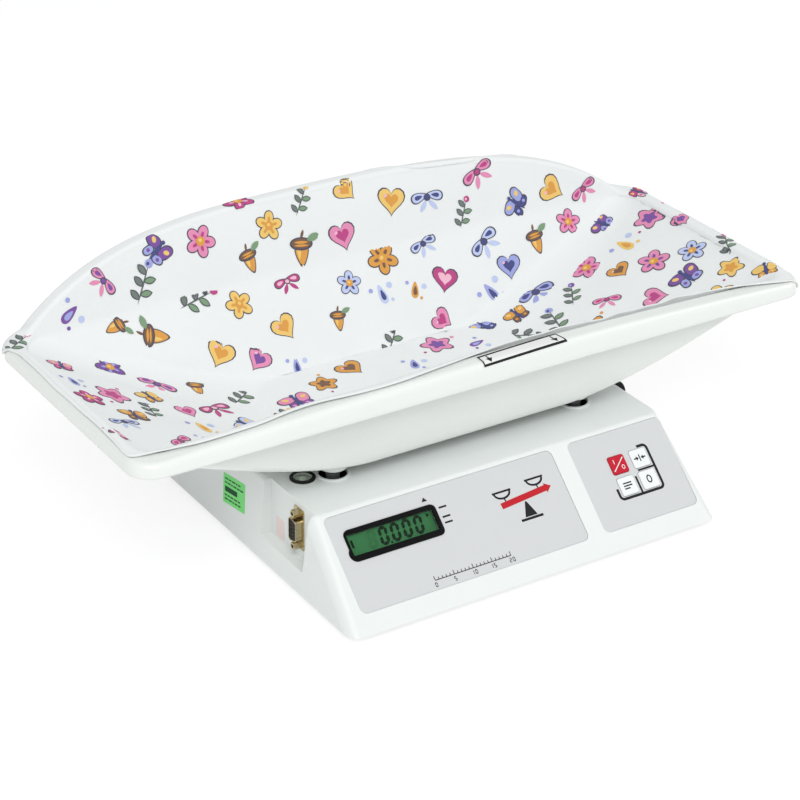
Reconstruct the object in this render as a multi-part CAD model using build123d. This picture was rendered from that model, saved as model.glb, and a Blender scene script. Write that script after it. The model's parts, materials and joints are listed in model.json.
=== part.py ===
"""Digital baby weighing scale: a wedge-fronted base with a load cell, and a lift-off curved tray.

Units are millimetres. X runs left to right seen by the operator, Y runs to the back, Z is up.
The design frame has Y = 0 at the front bottom edge of the base and Z = 0 at the table.
Everything is moved back by half the overall depth before it is written, so that the written
origin is the bottom centre of the whole scale.
"""
from build123d import *
from math import atan2, cos, degrees, sin, tan
import os

# ---------------------------------------------------------------- driving dimensions
# general
OVERLAP = 1.0
EDGE_SEARCH = 0.1
SEAT_GAP = 0.05

# base housing
BASE_WIDTH = 303.0
BASE_DEPTH = 284.0
DECK_HEIGHT = 61.0
FLOOR_GAP = 3.0
SLOPE_RUN = 64.3
SIDE_DRAFT = 7.0
BACK_DRAFT = 4.0
HOUSING_WALL = 2.5
HOUSING_CORNER = 9.0
HOUSING_EDGE = 3.6

# bottom pan
PAN_THICKNESS = 2.5
PAN_GAP = 0.4
PAN_EDGE = 0.9
PAN_RIM_HEIGHT = 6.0
PAN_RIM_WALL = 2.0
PAN_RIM_EDGE = 0.2
PAN_RIB_WIDTH = 2.0
PAN_RIB_HEIGHT = 5.0
PAN_RIB_LENGTH = 151.5
PAN_RIB_GAP = 8.0

# console recesses: insets from the sides of the base, and distances up the slope
RECESS_DEPTH = 1.0
RECESS_CORNER = 5.0
RECESS_BOTTOM = 14.5
RECESS_TOP_MARGIN = 2.9
DISPLAY_RECESS_INSET = 14.5
KEYPAD_RECESS_INSET = 9.3
KEYPAD_RECESS_WIDTH = 81.7
RECESS_BRIDGE = 13.5
OVERLAY_THICKNESS = 0.6
OVERLAY_GAP = 0.25

# display
BEZEL_WIDTH = 72.0
BEZEL_HEIGHT = 22.5
BEZEL_SIDE_MARGIN = 10.0
BEZEL_BOTTOM_MARGIN = 34.75
BEZEL_CORNER = 4.0
BEZEL_RISE = 0.9
BEZEL_EDGE = 0.3
BEZEL_LOBE_RADIUS = 5.5
BEZEL_LOBE_OUT = 1.4
WINDOW_WIDTH = 67.0
WINDOW_HEIGHT = 14.8
WINDOW_CORNER = 0.8
WINDOW_RIGHT_MARGIN = 3.4
WINDOW_BOTTOM_MARGIN = 4.2
LENS_THICKNESS = 0.8
LCD_THICKNESS = 2.8
LCD_BORDER = 3.0
DISPLAY_BOARD_WIDTH = 92.0
DISPLAY_BOARD_HEIGHT = 36.0
DISPLAY_BOARD_DROP = 4.0
BOARD_THICKNESS = 1.6
BOARD_CORNER = 1.5
BOARD_SEAT_GAP = 0.1

# keys
KEY_WIDTH = 13.6
KEY_HEIGHT = 13.4
KEY_CORNER = 1.6
KEY_PITCH_X = 18.6
KEY_PITCH_UP = 16.4
KEYS_SIDE_MARGIN = 39.2
KEYS_BOTTOM_MARGIN = 35.9
KEY_RISE = 0.8
KEY_EDGE = 0.5
KEY_GAP = 0.3
KEY_TRAVEL = 0.7
KEY_STOP_GAP = 0.1
KEY_FLANGE = 1.0
KEY_FLANGE_THICKNESS = 1.0
PLUNGER_RADIUS = 1.75
PLUNGER_GAP = 0.1
PLUNGER_ENTRY = 0.8
SWITCH_SIDE = 6.0
SWITCH_BODY_HEIGHT = 3.6
KEYPAD_BOARD_WIDTH = 54.0
KEYPAD_BOARD_HEIGHT = 44.0
BOARD_POST_RADIUS = 3.2
BOARD_POST_INSET = 4.5
BOARD_SCREW_RADIUS = 1.2
BOARD_SCREW_GAP = 0.1
BOARD_SCREW_HEAD_RADIUS = 2.4
BOARD_SCREW_HEAD = 1.6
BOARD_SCREW_LENGTH = 6.0

# platform on its load cell
PLATFORM_CENTRE_Y = 170.0
POST_INSET_X = 50.5
POST_PITCH_Y = 124.0
POST_RADIUS = 5.0
POST_EDGE = 0.6
POST_FOOT_HEIGHT = 2.0
POST_FOOT_WIDTH = 2.5
DECK_HOLE_RADIUS = 10.2
COLLAR_WIDTH = 1.7
COLLAR_RISE = 1.2
COLLAR_EDGE = 0.6
CELL_LENGTH = 130.0
CELL_WIDTH = 30.0
CELL_HEIGHT = 22.0
CELL_HOLE_RADIUS = 7.5
CELL_HOLE_PITCH = 24.0
CELL_SLOT = 4.0
CELL_END_BLOCK = 34.0
CELL_SCREW_PITCH = 15.0
CELL_SCREW_RADIUS = 3.0
CELL_SCREW_GAP = 0.15
CELL_SCREW_HEAD_RADIUS = 5.0
CELL_SCREW_HEAD = 5.0
CELL_SCREW_SOCKET = 2.5
CELL_SCREW_BITE = 12.0
CELL_HOLE_EXTRA = 1.0
CELL_LOW_HEAD = 2.6
CELL_LOW_HEAD_GAP = 0.2
PAN_SEAT_RISE = 2.5
PAN_SEAT_MARGIN = 4.0
FOOT_SPACER_THICKNESS = 2.5
HEAD_SPACER_THICKNESS = 5.0
SPIDER_THICKNESS = 3.0
SPIDER_HUB_MARGIN = 1.0
SPIDER_HUB_SIDE = 8.0
SPIDER_HUB_CORNER = 8.0
SPIDER_ARM_RADIUS = 11.0
SPIDER_ARM_ROOT = 23.0
SPIDER_RIB_HEIGHT = 6.0
SPIDER_RIB_WIDTH = 2.0
SPIDER_RIB_GAP = 3.0
SPIDER_WINDOW_RADIUS = 9.0
SPIDER_WINDOW_PITCH = 36.0
CAP_RADIUS = 7.6
CAP_HEIGHT = 6.0
CAP_TOP_WALL = 1.5
CAP_EDGE = 1.0
STOP_SCREW_RADIUS = 3.0
STOP_SCREW_GAP = 3.0
STOP_SCREW_INSET = 2.0
STOP_SCREW_CLEARANCE = 1.0
STOP_NUT_RADIUS = 6.0
STOP_NUT_HEIGHT = 3.2

# tray
TRAY_LENGTH = 540.0
TRAY_FRONT_REACH = 111.0
TRAY_RIM_HEIGHT = 136.0
TRAY_FLOOR_CLEARANCE = 10.1
TRAY_WALL = 3.0
TRAY_WALL_TOP_DROP = 6.5
TRAY_SKIRT = 10.5
TRAY_SKIRT_WALL = 2.6
TRAY_SHOULDER = 4.5
TRAY_CORNER = 18.0
TRAY_FLOOR_SIDE_MARGIN = 9.0
TRAY_FLOOR_FRONT_MARGIN = 13.7
TRAY_FLOOR_BACK_SHORT = 2.0
TRAY_FLOOR_CORNER = 40.0
TRAY_END_LEDGE = 10.0
TRAY_FRONT_LEDGE = 12.0
TRAY_BACK_LEDGE = 6.0
TRAY_BACK_GAIN = 34.4
TRAY_NOSE_RISE = 6.5
TRAY_ARCH_RISE = 44.4
TRAY_LEAST_BOW = 0.3
SOCKET_DEPTH = 4.0
SOCKET_WALL = 2.0
SOCKET_GAP = 0.6
LINER_THICKNESS = 1.4
LINER_GAP = 0.3
LINER_RIM_DROP = 3.0
RIM_LABEL_WIDTH = 70.0
RIM_LABEL_THICKNESS = 0.3
RIM_LABEL_X = 22.0
RIM_LABEL_FALL = 4.0
RIM_LABEL_REACH = 10.0

# shares that shape the tray: powers of the height, slopes, and the wall seen in a level cut
TRAY_END_POWER = 1.34
TRAY_FRONT_POWER = 0.47
TRAY_BACK_POWER = 0.85
TRAY_BACK_LEAN = 0.25
TRAY_BOW_RATE = 0.235
TRAY_ARCH_POWER = 4.0
TRAY_ARCH_ROUND = 0.93
WALL_SHARE_X = 0.3
WALL_SHARE_Y = 0.9
BOWL_STEPS = (0, 0.05, 0.16, 0.32, 0.52, 0.76, 0.94, 1.06, 1.3, 1.75)
ARCH_POINTS = 24

# serial connector pocket in the left wall
POCKET_DEPTH = 11.5
POCKET_FRONT_Y = 66.5
POCKET_BACK_Y = 124.0
POCKET_BOTTOM = 19.5
CONNECTOR_Y = 86.0
CONNECTOR_Z = 41.4
CONNECTOR_GAP = 0.5
FLANGE_LENGTH = 30.8
FLANGE_WIDTH = 12.5
FLANGE_THICKNESS = 0.8
FLANGE_CORNER = 1.2
SHELL_LENGTH = 18.2
SHELL_WIDTH = 9.6
SHELL_REACH = 6.0
SHELL_WALL = 0.5
SHELL_TAPER = 1.6
SHELL_CORNER = 2.2
INSULATOR_GAP = 0.05
INSULATOR_REACH = 5.4
INSULATOR_BODY_INSET = 0.2
CONNECTOR_BODY_DEPTH = 6.0
PIN_RADIUS = 0.55
PIN_PITCH = 2.77
PIN_ROW = 2.84
PIN_TAIL = 2.0
PIN_TIP_INSET = 1.0
JACK_SPACING = 25.0
JACK_HEX = 5.0
JACK_REACH = 5.0
JACK_BORE_RADIUS = 1.45
JACK_BORE_DEPTH = 4.5
JACK_STUD_RADIUS = 1.4
JACK_STUD_GAP = 0.15
JACK_STUD_TAIL = 3.0
SERIAL_LABEL_WIDTH = 11.0
SERIAL_LABEL_HEIGHT = 15.0
SERIAL_LABEL_Y = 112.0
SERIAL_LABEL_RISE = 1.0
LABEL_THICKNESS = 0.2
LABEL_CORNER = 1.0
SIDE_LABEL_WIDTH = 30.0
SIDE_LABEL_HEIGHT = 21.5
SIDE_LABEL_Y = 162.0
SIDE_LABEL_Z = 33.0
SIDE_LABEL_TURN = 7.5

# power inlet in the right wall
INLET_Y = 122.0
INLET_Z = 50.5
INLET_FLANGE_RADIUS = 7.5
INLET_FLANGE = 2.0
INLET_COLLAR_RADIUS = 5.8
INLET_COLLAR_REACH = 8.0
INLET_BORE_RADIUS = 2.9
INLET_BORE_DEPTH = 9.0
INLET_PIN_RADIUS = 1.0
INLET_PIN_INSET = 1.5
INLET_BODY_RADIUS = 5.6
INLET_BODY_DEPTH = 9.0
INLET_HOLE_GAP = 0.15

# level vial in the deck
LEVEL_INSET_X = 30.0
LEVEL_Y = 113.5
LEVEL_RING_RADIUS = 9.0
LEVEL_RING_RISE = 1.4
LEVEL_RING_EDGE = 0.7
LEVEL_VIAL_RADIUS = 6.6
LEVEL_VIAL_DROP = 0.7
LEVEL_VIAL_DEPTH = 8.0
LEVEL_VIAL_WALL = 1.2
LEVEL_VIAL_FLOOR = 1.0
LEVEL_FLANGE = 1.4
LEVEL_FLANGE_THICKNESS = 1.2
LEVEL_WINDOW_THICKNESS = 1.2
LEVEL_BUBBLE_RADIUS = 2.3
LEVEL_BUBBLE_HEIGHT = 1.4
LEVEL_BUBBLE_EDGE = 0.9
LEVEL_GAP = 0.1

# electronics inside
MAIN_BOARD_WIDTH = 110.0
MAIN_BOARD_DEPTH = 46.0
MAIN_BOARD_CENTRE_Y = 116.0
MAIN_BOARD_STANDOFF = 6.0
CAN_LENGTH = 22.0
CAN_WIDTH = 18.0
CAN_HEIGHT = 4.8
CAN_X = -23.0
PROCESSOR_SIDE = 14.0
PROCESSOR_HEIGHT = 2.4
PROCESSOR_X = 11.0
REGULATOR_LENGTH = 10.0
REGULATOR_WIDTH = 5.0
REGULATOR_HEIGHT = 7.2
REGULATOR_X = 35.0
REGULATOR_SHIFT_Y = 6.5

# screws that hold the pan to the housing
BOSS_RADIUS = 4.2
BOSS_BORE_RADIUS = 1.4
BOSS_SCREW_RADIUS = 1.3
BOSS_SCREW_GAP = 0.2
BOSS_SCREW_HEAD_RADIUS = 3.0
BOSS_SCREW_HEAD = 1.6
BOSS_SCREW_LENGTH = 9.0
BOSS_BORE_EXTRA = 1.9
BOSS_INSET_X = 20.0
BOSS_FRONT_Y = 20.0
BOSS_BACK_INSET = 18.0

# levelling feet
FOOT_INSET_X = 40.0
FOOT_FRONT_Y = 36.0
FOOT_BACK_INSET = 34.0
FOOT_PAD_RADIUS = 10.0
FOOT_PAD_HEIGHT = 3.0
FOOT_PAD_EDGE = 0.8
FOOT_DISC_RADIUS = 8.6
FOOT_DISC_HEIGHT = 3.2
FOOT_DISC_NOTCHES = 12
FOOT_NOTCH_RADIUS = 1.0
FOOT_STUD_RADIUS = 3.0
FOOT_STUD_LENGTH = 12.0
FOOT_STUD_GAP = 0.08
FOOT_WELL_RADIUS = 12.5
FOOT_WELL_WALL = 2.0
FOOT_CLEARANCE = 0.6
FOOT_SWIVEL_RADIUS = 3.6
FOOT_SWIVEL_HEIGHT = 1.2
FOOT_SWIVEL_GAP = 0.08
FOOT_BUSH_WALL = 2.5
FOOT_BUSH_LENGTH = 9.0

# ---------------------------------------------------------------- derived places
BASE_HALF = BASE_WIDTH / 2
SLOPE_ANGLE = atan2(DECK_HEIGHT - FLOOR_GAP, SLOPE_RUN)
SLOPE_LENGTH = SLOPE_RUN / cos(SLOPE_ANGLE)
SIDE_ANGLE = atan2(SIDE_DRAFT, DECK_HEIGHT - FLOOR_GAP)
BACK_ANGLE = atan2(BACK_DRAFT, DECK_HEIGHT - FLOOR_GAP)
PAN_TOP = FLOOR_GAP + PAN_THICKNESS

# console
RECESS_TOP = SLOPE_LENGTH - RECESS_TOP_MARGIN
RECESS_CENTRE_UP = (RECESS_TOP + RECESS_BOTTOM) / 2
DISPLAY_RECESS_LEFT = -BASE_HALF + DISPLAY_RECESS_INSET
KEYPAD_RECESS_RIGHT = BASE_HALF - KEYPAD_RECESS_INSET
KEYPAD_RECESS_LEFT = KEYPAD_RECESS_RIGHT - KEYPAD_RECESS_WIDTH
DISPLAY_RECESS_RIGHT = KEYPAD_RECESS_LEFT - RECESS_BRIDGE
OVERLAY_TOP = -RECESS_DEPTH + OVERLAY_THICKNESS
BEZEL_TOP = OVERLAY_TOP + BEZEL_RISE
BEZEL_CENTRE_X = DISPLAY_RECESS_LEFT + BEZEL_SIDE_MARGIN + BEZEL_WIDTH / 2
BEZEL_CENTRE_UP = RECESS_BOTTOM + BEZEL_BOTTOM_MARGIN + BEZEL_HEIGHT / 2
WINDOW_X = BEZEL_CENTRE_X + BEZEL_WIDTH / 2 - WINDOW_RIGHT_MARGIN - WINDOW_WIDTH / 2
WINDOW_UP = BEZEL_CENTRE_UP - BEZEL_HEIGHT / 2 + WINDOW_BOTTOM_MARGIN + WINDOW_HEIGHT / 2
LCD_TOP = -HOUSING_WALL - BOARD_SEAT_GAP
DISPLAY_BOARD_TOP = LCD_TOP - LCD_THICKNESS - BOARD_SEAT_GAP
DISPLAY_BOARD_UP = BEZEL_CENTRE_UP - DISPLAY_BOARD_DROP
KEY_TOP = OVERLAY_TOP + KEY_RISE
KEYS_CENTRE_X = KEYPAD_RECESS_RIGHT - KEYS_SIDE_MARGIN
KEYS_CENTRE_UP = RECESS_BOTTOM + KEYS_BOTTOM_MARGIN
KEY_FLANGE_TOP = -HOUSING_WALL - KEY_STOP_GAP
KEY_FLANGE_LOW = KEY_FLANGE_TOP - KEY_FLANGE_THICKNESS
SWITCH_TOP = KEY_FLANGE_LOW - KEY_TRAVEL - KEY_STOP_GAP
KEYPAD_BOARD_TOP = SWITCH_TOP - SWITCH_BODY_HEIGHT
KEYS = {
    "power": (-1, 1),
    "tare": (1, 1),
    "print": (-1, -1),
    "zero": (1, -1),
}

# load cell and platform
CELL_BOTTOM = PAN_TOP + PAN_SEAT_RISE + FOOT_SPACER_THICKNESS
CELL_TOP = CELL_BOTTOM + CELL_HEIGHT
CELL_SIDE = CELL_LENGTH / 2 - CELL_END_BLOCK / 2
CELL_FOOT_SCREWS = [-CELL_SIDE + s * CELL_SCREW_PITCH / 2 for s in (-1, 1)]
CELL_HEAD_SCREWS = [CELL_SIDE + s * CELL_SCREW_PITCH / 2 for s in (-1, 1)]
FOOT_HEAD_TOP = FLOOR_GAP + CELL_LOW_HEAD_GAP + CELL_LOW_HEAD
SPIDER_BOTTOM = CELL_TOP + HEAD_SPACER_THICKNESS
SPIDER_TOP = SPIDER_BOTTOM + SPIDER_THICKNESS
STOP_SCREW_X = CELL_LENGTH / 2 + STOP_SCREW_GAP + STOP_SCREW_RADIUS
HUB_HALF = STOP_SCREW_X + STOP_SCREW_RADIUS + SPIDER_HUB_MARGIN
HUB_WIDTH = CELL_WIDTH + 2 * SPIDER_HUB_SIDE
POST_PITCH_X = BASE_WIDTH - 2 * POST_INSET_X
POSTS = [
    (sx * POST_PITCH_X / 2, PLATFORM_CENTRE_Y + sy * POST_PITCH_Y / 2)
    for sy in (-1, 1)
    for sx in (-1, 1)
]

# tray
TRAY_FLOOR = DECK_HEIGHT + TRAY_FLOOR_CLEARANCE
CAP_TOP = TRAY_FLOOR - SEAT_GAP
POST_TOP = CAP_TOP - CAP_TOP_WALL
TRAY_HALF = TRAY_LENGTH / 2
TRAY_FRONT_Y = PLATFORM_CENTRE_Y - TRAY_FRONT_REACH
TRAY_FLOOR_HALF = POST_PITCH_X / 2 + TRAY_FLOOR_SIDE_MARGIN
TRAY_FLOOR_FRONT_Y = PLATFORM_CENTRE_Y - POST_PITCH_Y / 2 - TRAY_FLOOR_FRONT_MARGIN
TRAY_FLOOR_BACK_Y = PLATFORM_CENTRE_Y + POST_PITCH_Y / 2 - TRAY_FLOOR_BACK_SHORT
WALL_TOP = TRAY_RIM_HEIGHT - TRAY_WALL_TOP_DROP
TRAY_CREST = TRAY_RIM_HEIGHT + TRAY_ARCH_RISE
ARCH_HALF = TRAY_HALF - TRAY_CORNER
SOCKET_BORE = CAP_RADIUS + SOCKET_GAP

# walls, deck and underside
POCKET_FLOOR_X = BASE_HALF - POCKET_DEPTH
LEVEL_X = -BASE_HALF + LEVEL_INSET_X
LEVEL_TOP = DECK_HEIGHT + LEVEL_RING_RISE - LEVEL_VIAL_DROP
MAIN_BOARD_LOW = PAN_TOP + MAIN_BOARD_STANDOFF
MAIN_BOARD_TOP = MAIN_BOARD_LOW + BOARD_THICKNESS
MAIN_BOARD_POSTS = [
    (
        sx * (MAIN_BOARD_WIDTH / 2 - BOARD_POST_INSET),
        MAIN_BOARD_CENTRE_Y + sy * (MAIN_BOARD_DEPTH / 2 - BOARD_POST_INSET),
    )
    for sx in (-1, 1)
    for sy in (-1, 1)
]
BOSSES = [
    (sx * (BASE_HALF - BOSS_INSET_X), y)
    for y in (BOSS_FRONT_Y, BASE_DEPTH / 2, BASE_DEPTH - BOSS_BACK_INSET)
    for sx in (-1, 1)
]
BOSS_SCREW_TOP = FLOOR_GAP + BOSS_SCREW_HEAD + BOSS_SCREW_LENGTH
FEET = {
    "front_left": (-BASE_HALF + FOOT_INSET_X, FOOT_FRONT_Y),
    "front_right": (BASE_HALF - FOOT_INSET_X, FOOT_FRONT_Y),
    "back_left": (-BASE_HALF + FOOT_INSET_X, BASE_DEPTH - FOOT_BACK_INSET),
    "back_right": (BASE_HALF - FOOT_INSET_X, BASE_DEPTH - FOOT_BACK_INSET),
}
WELL_ROOF = FOOT_PAD_HEIGHT + FOOT_DISC_HEIGHT + FOOT_CLEARANCE

console = Plane(
    origin=(0, 0, FLOOR_GAP),
    x_dir=(1, 0, 0),
    z_dir=(0, -sin(SLOPE_ANGLE), cos(SLOPE_ANGLE)),
)




# ---------------------------------------------------------------- small helpers
def cylinder(x, y, low, high, radius):
    """Upright cylinder between two heights."""
    return Pos(x, y, (low + high) / 2) * Cylinder(radius, high - low)


def block(x_low, x_high, y_low, y_high, z_low, z_high):
    """Box between two corners."""
    centre = Pos((x_low + x_high) / 2, (y_low + y_high) / 2, (z_low + z_high) / 2)
    return centre * Box(x_high - x_low, y_high - y_low, z_high - z_low)


def across(z_low, z_high):
    """Everything between two heights."""
    return block(-BASE_WIDTH, BASE_WIDTH, -BASE_DEPTH, 2 * BASE_DEPTH, z_low, z_high)


def on_console(x, up, low, high, sketch):
    """Prism of a sketch standing on the slope, between two heights above the slope's face."""
    return extrude(console * Pos(x, up, low) * sketch, high - low, dir=tuple(console.z_dir))


def turned_to_x(x, y, z, direction):
    """Location whose local Z points along +X or -X."""
    return Plane(origin=(x, y, z), x_dir=(0, 1, 0), z_dir=(direction, 0, 0)).location


def edges_at(shape, height):
    """Edges whose middle lies at a height."""
    return [e for e in shape.edges() if abs(e.center().Z - height) < EDGE_SEARCH]


def console_edges_at(shape, height):
    """Edges whose middle lies at a height above the slope's face."""
    return [e for e in shape.edges() if abs(console.to_local_coords(e.center()).Z - height) < EDGE_SEARCH]


# ---------------------------------------------------------------- base housing
def side_wall(z):
    """Distance of the outer side face from the middle plane at a height."""
    return BASE_HALF - (z - FLOOR_GAP) * tan(SIDE_ANGLE)


def wedge(inset, low, high, corner, edge):
    """The wedge-fronted body, its faces moved inwards by an inset, with rounded edges."""

    def front(z):
        return (z - FLOOR_GAP) / tan(SLOPE_ANGLE) + inset / sin(SLOPE_ANGLE)

    def back(z):
        return BASE_DEPTH - (z - FLOOR_GAP) * tan(BACK_ANGLE) - inset / cos(BACK_ANGLE)

    def half(z):
        return side_wall(z) - inset / cos(SIDE_ANGLE)

    side_view = make_face(
        Polyline(
            (0, front(low), low),
            (0, back(low), low),
            (0, back(high), high),
            (0, front(high), high),
            close=True,
        )
    )
    front_view = make_face(
        Polyline(
            (-half(low), 0, low),
            (half(low), 0, low),
            (half(high), 0, high),
            (-half(high), 0, high),
            close=True,
        )
    )
    body = extrude(side_view, BASE_WIDTH, dir=(1, 0, 0), both=True)
    body = body & extrude(front_view, 2 * BASE_DEPTH, dir=(0, 1, 0), both=True)
    upright = [e for e in body.edges() if abs(e.tangent_at(0.5).Z) > EDGE_SEARCH]
    body = fillet(upright, corner)
    return fillet(edges_at(body, high), edge)


def pocket(grow):
    """The connector pocket cut into the left wall, open at the top; grow thickens it for its walls."""
    return block(
        -BASE_WIDTH,
        -POCKET_FLOOR_X + grow,
        POCKET_FRONT_Y - grow,
        POCKET_BACK_Y + grow,
        POCKET_BOTTOM - grow,
        DECK_HEIGHT + OVERLAP,
    )


def recess_prism(left, right, shrink, low, high):
    """Prism of a console recess, made smaller all round by shrink."""
    width = right - left - 2 * shrink
    height = RECESS_TOP - RECESS_BOTTOM - 2 * shrink
    outline = RectangleRounded(width, height, RECESS_CORNER - shrink)
    return on_console((left + right) / 2, RECESS_CENTRE_UP, low, high, outline)


def key_place(name):
    """Centre of a key on the slope."""
    column, row = KEYS[name]
    return KEYS_CENTRE_X + column * KEY_PITCH_X / 2, KEYS_CENTRE_UP + row * KEY_PITCH_UP / 2


def key_openings(low):
    """Prisms of the four openings that the keys stand in, down to a depth."""
    outline = RectangleRounded(KEY_WIDTH + 2 * KEY_GAP, KEY_HEIGHT + 2 * KEY_GAP, KEY_CORNER + KEY_GAP)
    return [on_console(*key_place(name), low, OVERLAP, outline) for name in KEYS]


def window_prism(shrink, low, high):
    """Prism of the display window, made smaller all round by shrink."""
    width, height = WINDOW_WIDTH - 2 * shrink, WINDOW_HEIGHT - 2 * shrink
    return on_console(WINDOW_X, WINDOW_UP, low, high, RectangleRounded(width, height, WINDOW_CORNER - shrink))


def bezel_outline():
    """Outline of the display frame, with the small rounded foot at its lower left corner."""
    frame = RectangleRounded(BEZEL_WIDTH, BEZEL_HEIGHT, BEZEL_CORNER)
    reach = BEZEL_LOBE_RADIUS - BEZEL_LOBE_OUT
    lobe = Pos(-BEZEL_WIDTH / 2 + reach, -BEZEL_HEIGHT / 2 + BEZEL_LOBE_RADIUS) * Circle(BEZEL_LOBE_RADIUS)
    return frame + lobe


def board_places(x, up, width, height):
    """Screw places of a board that lies parallel to the slope."""
    reach_x, reach_up = width / 2 - BOARD_POST_INSET, height / 2 - BOARD_POST_INSET
    return [(x + sx * reach_x, up + sy * reach_up) for sx in (-1, 1) for sy in (-1, 1)]


def console_boards():
    """Screw places and top of the display board and of the keypad board."""
    display = board_places(BEZEL_CENTRE_X, DISPLAY_BOARD_UP, DISPLAY_BOARD_WIDTH, DISPLAY_BOARD_HEIGHT)
    keypad = board_places(KEYS_CENTRE_X, KEYS_CENTRE_UP, KEYPAD_BOARD_WIDTH, KEYPAD_BOARD_HEIGHT)
    return [(display, DISPLAY_BOARD_TOP), (keypad, KEYPAD_BOARD_TOP)]


def upper_housing():
    """The moulded shell: sloping console, deck with collared holes, pocket for the connector."""
    outer = wedge(0, FLOOR_GAP, DECK_HEIGHT, HOUSING_CORNER, HOUSING_EDGE)
    cavity = wedge(
        HOUSING_WALL,
        FLOOR_GAP - OVERLAP,
        DECK_HEIGHT - HOUSING_WALL,
        HOUSING_CORNER - HOUSING_WALL,
        HOUSING_EDGE - HOUSING_WALL,
    )
    shell = outer - (cavity - pocket(HOUSING_WALL)) - pocket(0)

    # inner posts for the pan's screws and the two boards
    for x, y in BOSSES:
        shell = shell + (cylinder(x, y, PAN_TOP, DECK_HEIGHT, BOSS_RADIUS) & outer)
        bore_top = BOSS_SCREW_TOP + BOSS_BORE_EXTRA
        shell = shell - cylinder(x, y, PAN_TOP - OVERLAP, bore_top, BOSS_BORE_RADIUS)
    for places, top in console_boards():
        for x, up in places:
            shell = shell + on_console(x, up, top, -HOUSING_WALL, Circle(BOARD_POST_RADIUS))
            shell = shell - on_console(x, up, top - OVERLAP, -HOUSING_WALL, Circle(BOARD_SCREW_RADIUS))

    # deck collars and holes
    for x, y in POSTS:
        top = DECK_HEIGHT + COLLAR_RISE
        collar = cylinder(x, y, DECK_HEIGHT - OVERLAP, top, DECK_HOLE_RADIUS + COLLAR_WIDTH)
        shell = shell + fillet(edges_at(collar, top), COLLAR_EDGE)
    for x, y in POSTS:
        shell = shell - cylinder(x, y, DECK_HEIGHT / 2, DECK_HEIGHT + 2 * COLLAR_RISE, DECK_HOLE_RADIUS)
    seat = LEVEL_VIAL_RADIUS + LEVEL_GAP
    shell = shell - cylinder(LEVEL_X, LEVEL_Y, DECK_HEIGHT / 2, DECK_HEIGHT + OVERLAP, seat)

    # console recesses, window and key openings
    shell = shell - recess_prism(DISPLAY_RECESS_LEFT, DISPLAY_RECESS_RIGHT, 0, -RECESS_DEPTH, OVERLAP)
    shell = shell - recess_prism(KEYPAD_RECESS_LEFT, KEYPAD_RECESS_RIGHT, 0, -RECESS_DEPTH, OVERLAP)
    shell = shell - window_prism(0, -2 * HOUSING_WALL, OVERLAP)
    for opening in key_openings(-2 * HOUSING_WALL):
        shell = shell - opening

    # connector opening in the pocket's floor
    inside = turned_to_x(-POCKET_FLOOR_X - OVERLAP, CONNECTOR_Y, CONNECTOR_Z, 1)
    slot = Rectangle(SHELL_WIDTH + 2 * CONNECTOR_GAP, SHELL_LENGTH + 2 * CONNECTOR_GAP)
    shell = shell - extrude(inside * slot, HOUSING_WALL + 2 * OVERLAP)
    for side in (-1, 1):
        hole = Pos(0, side * JACK_SPACING / 2) * Circle(JACK_STUD_RADIUS + JACK_STUD_GAP)
        shell = shell - extrude(inside * hole, HOUSING_WALL + 2 * OVERLAP)

    # round hole for the power inlet
    hole = Circle(INLET_BODY_RADIUS + INLET_HOLE_GAP)
    start = turned_to_x(inlet_seat() - INLET_BODY_DEPTH, INLET_Y, INLET_Z, 1)
    return shell - extrude(start * hole, INLET_BODY_DEPTH + INLET_FLANGE)


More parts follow.
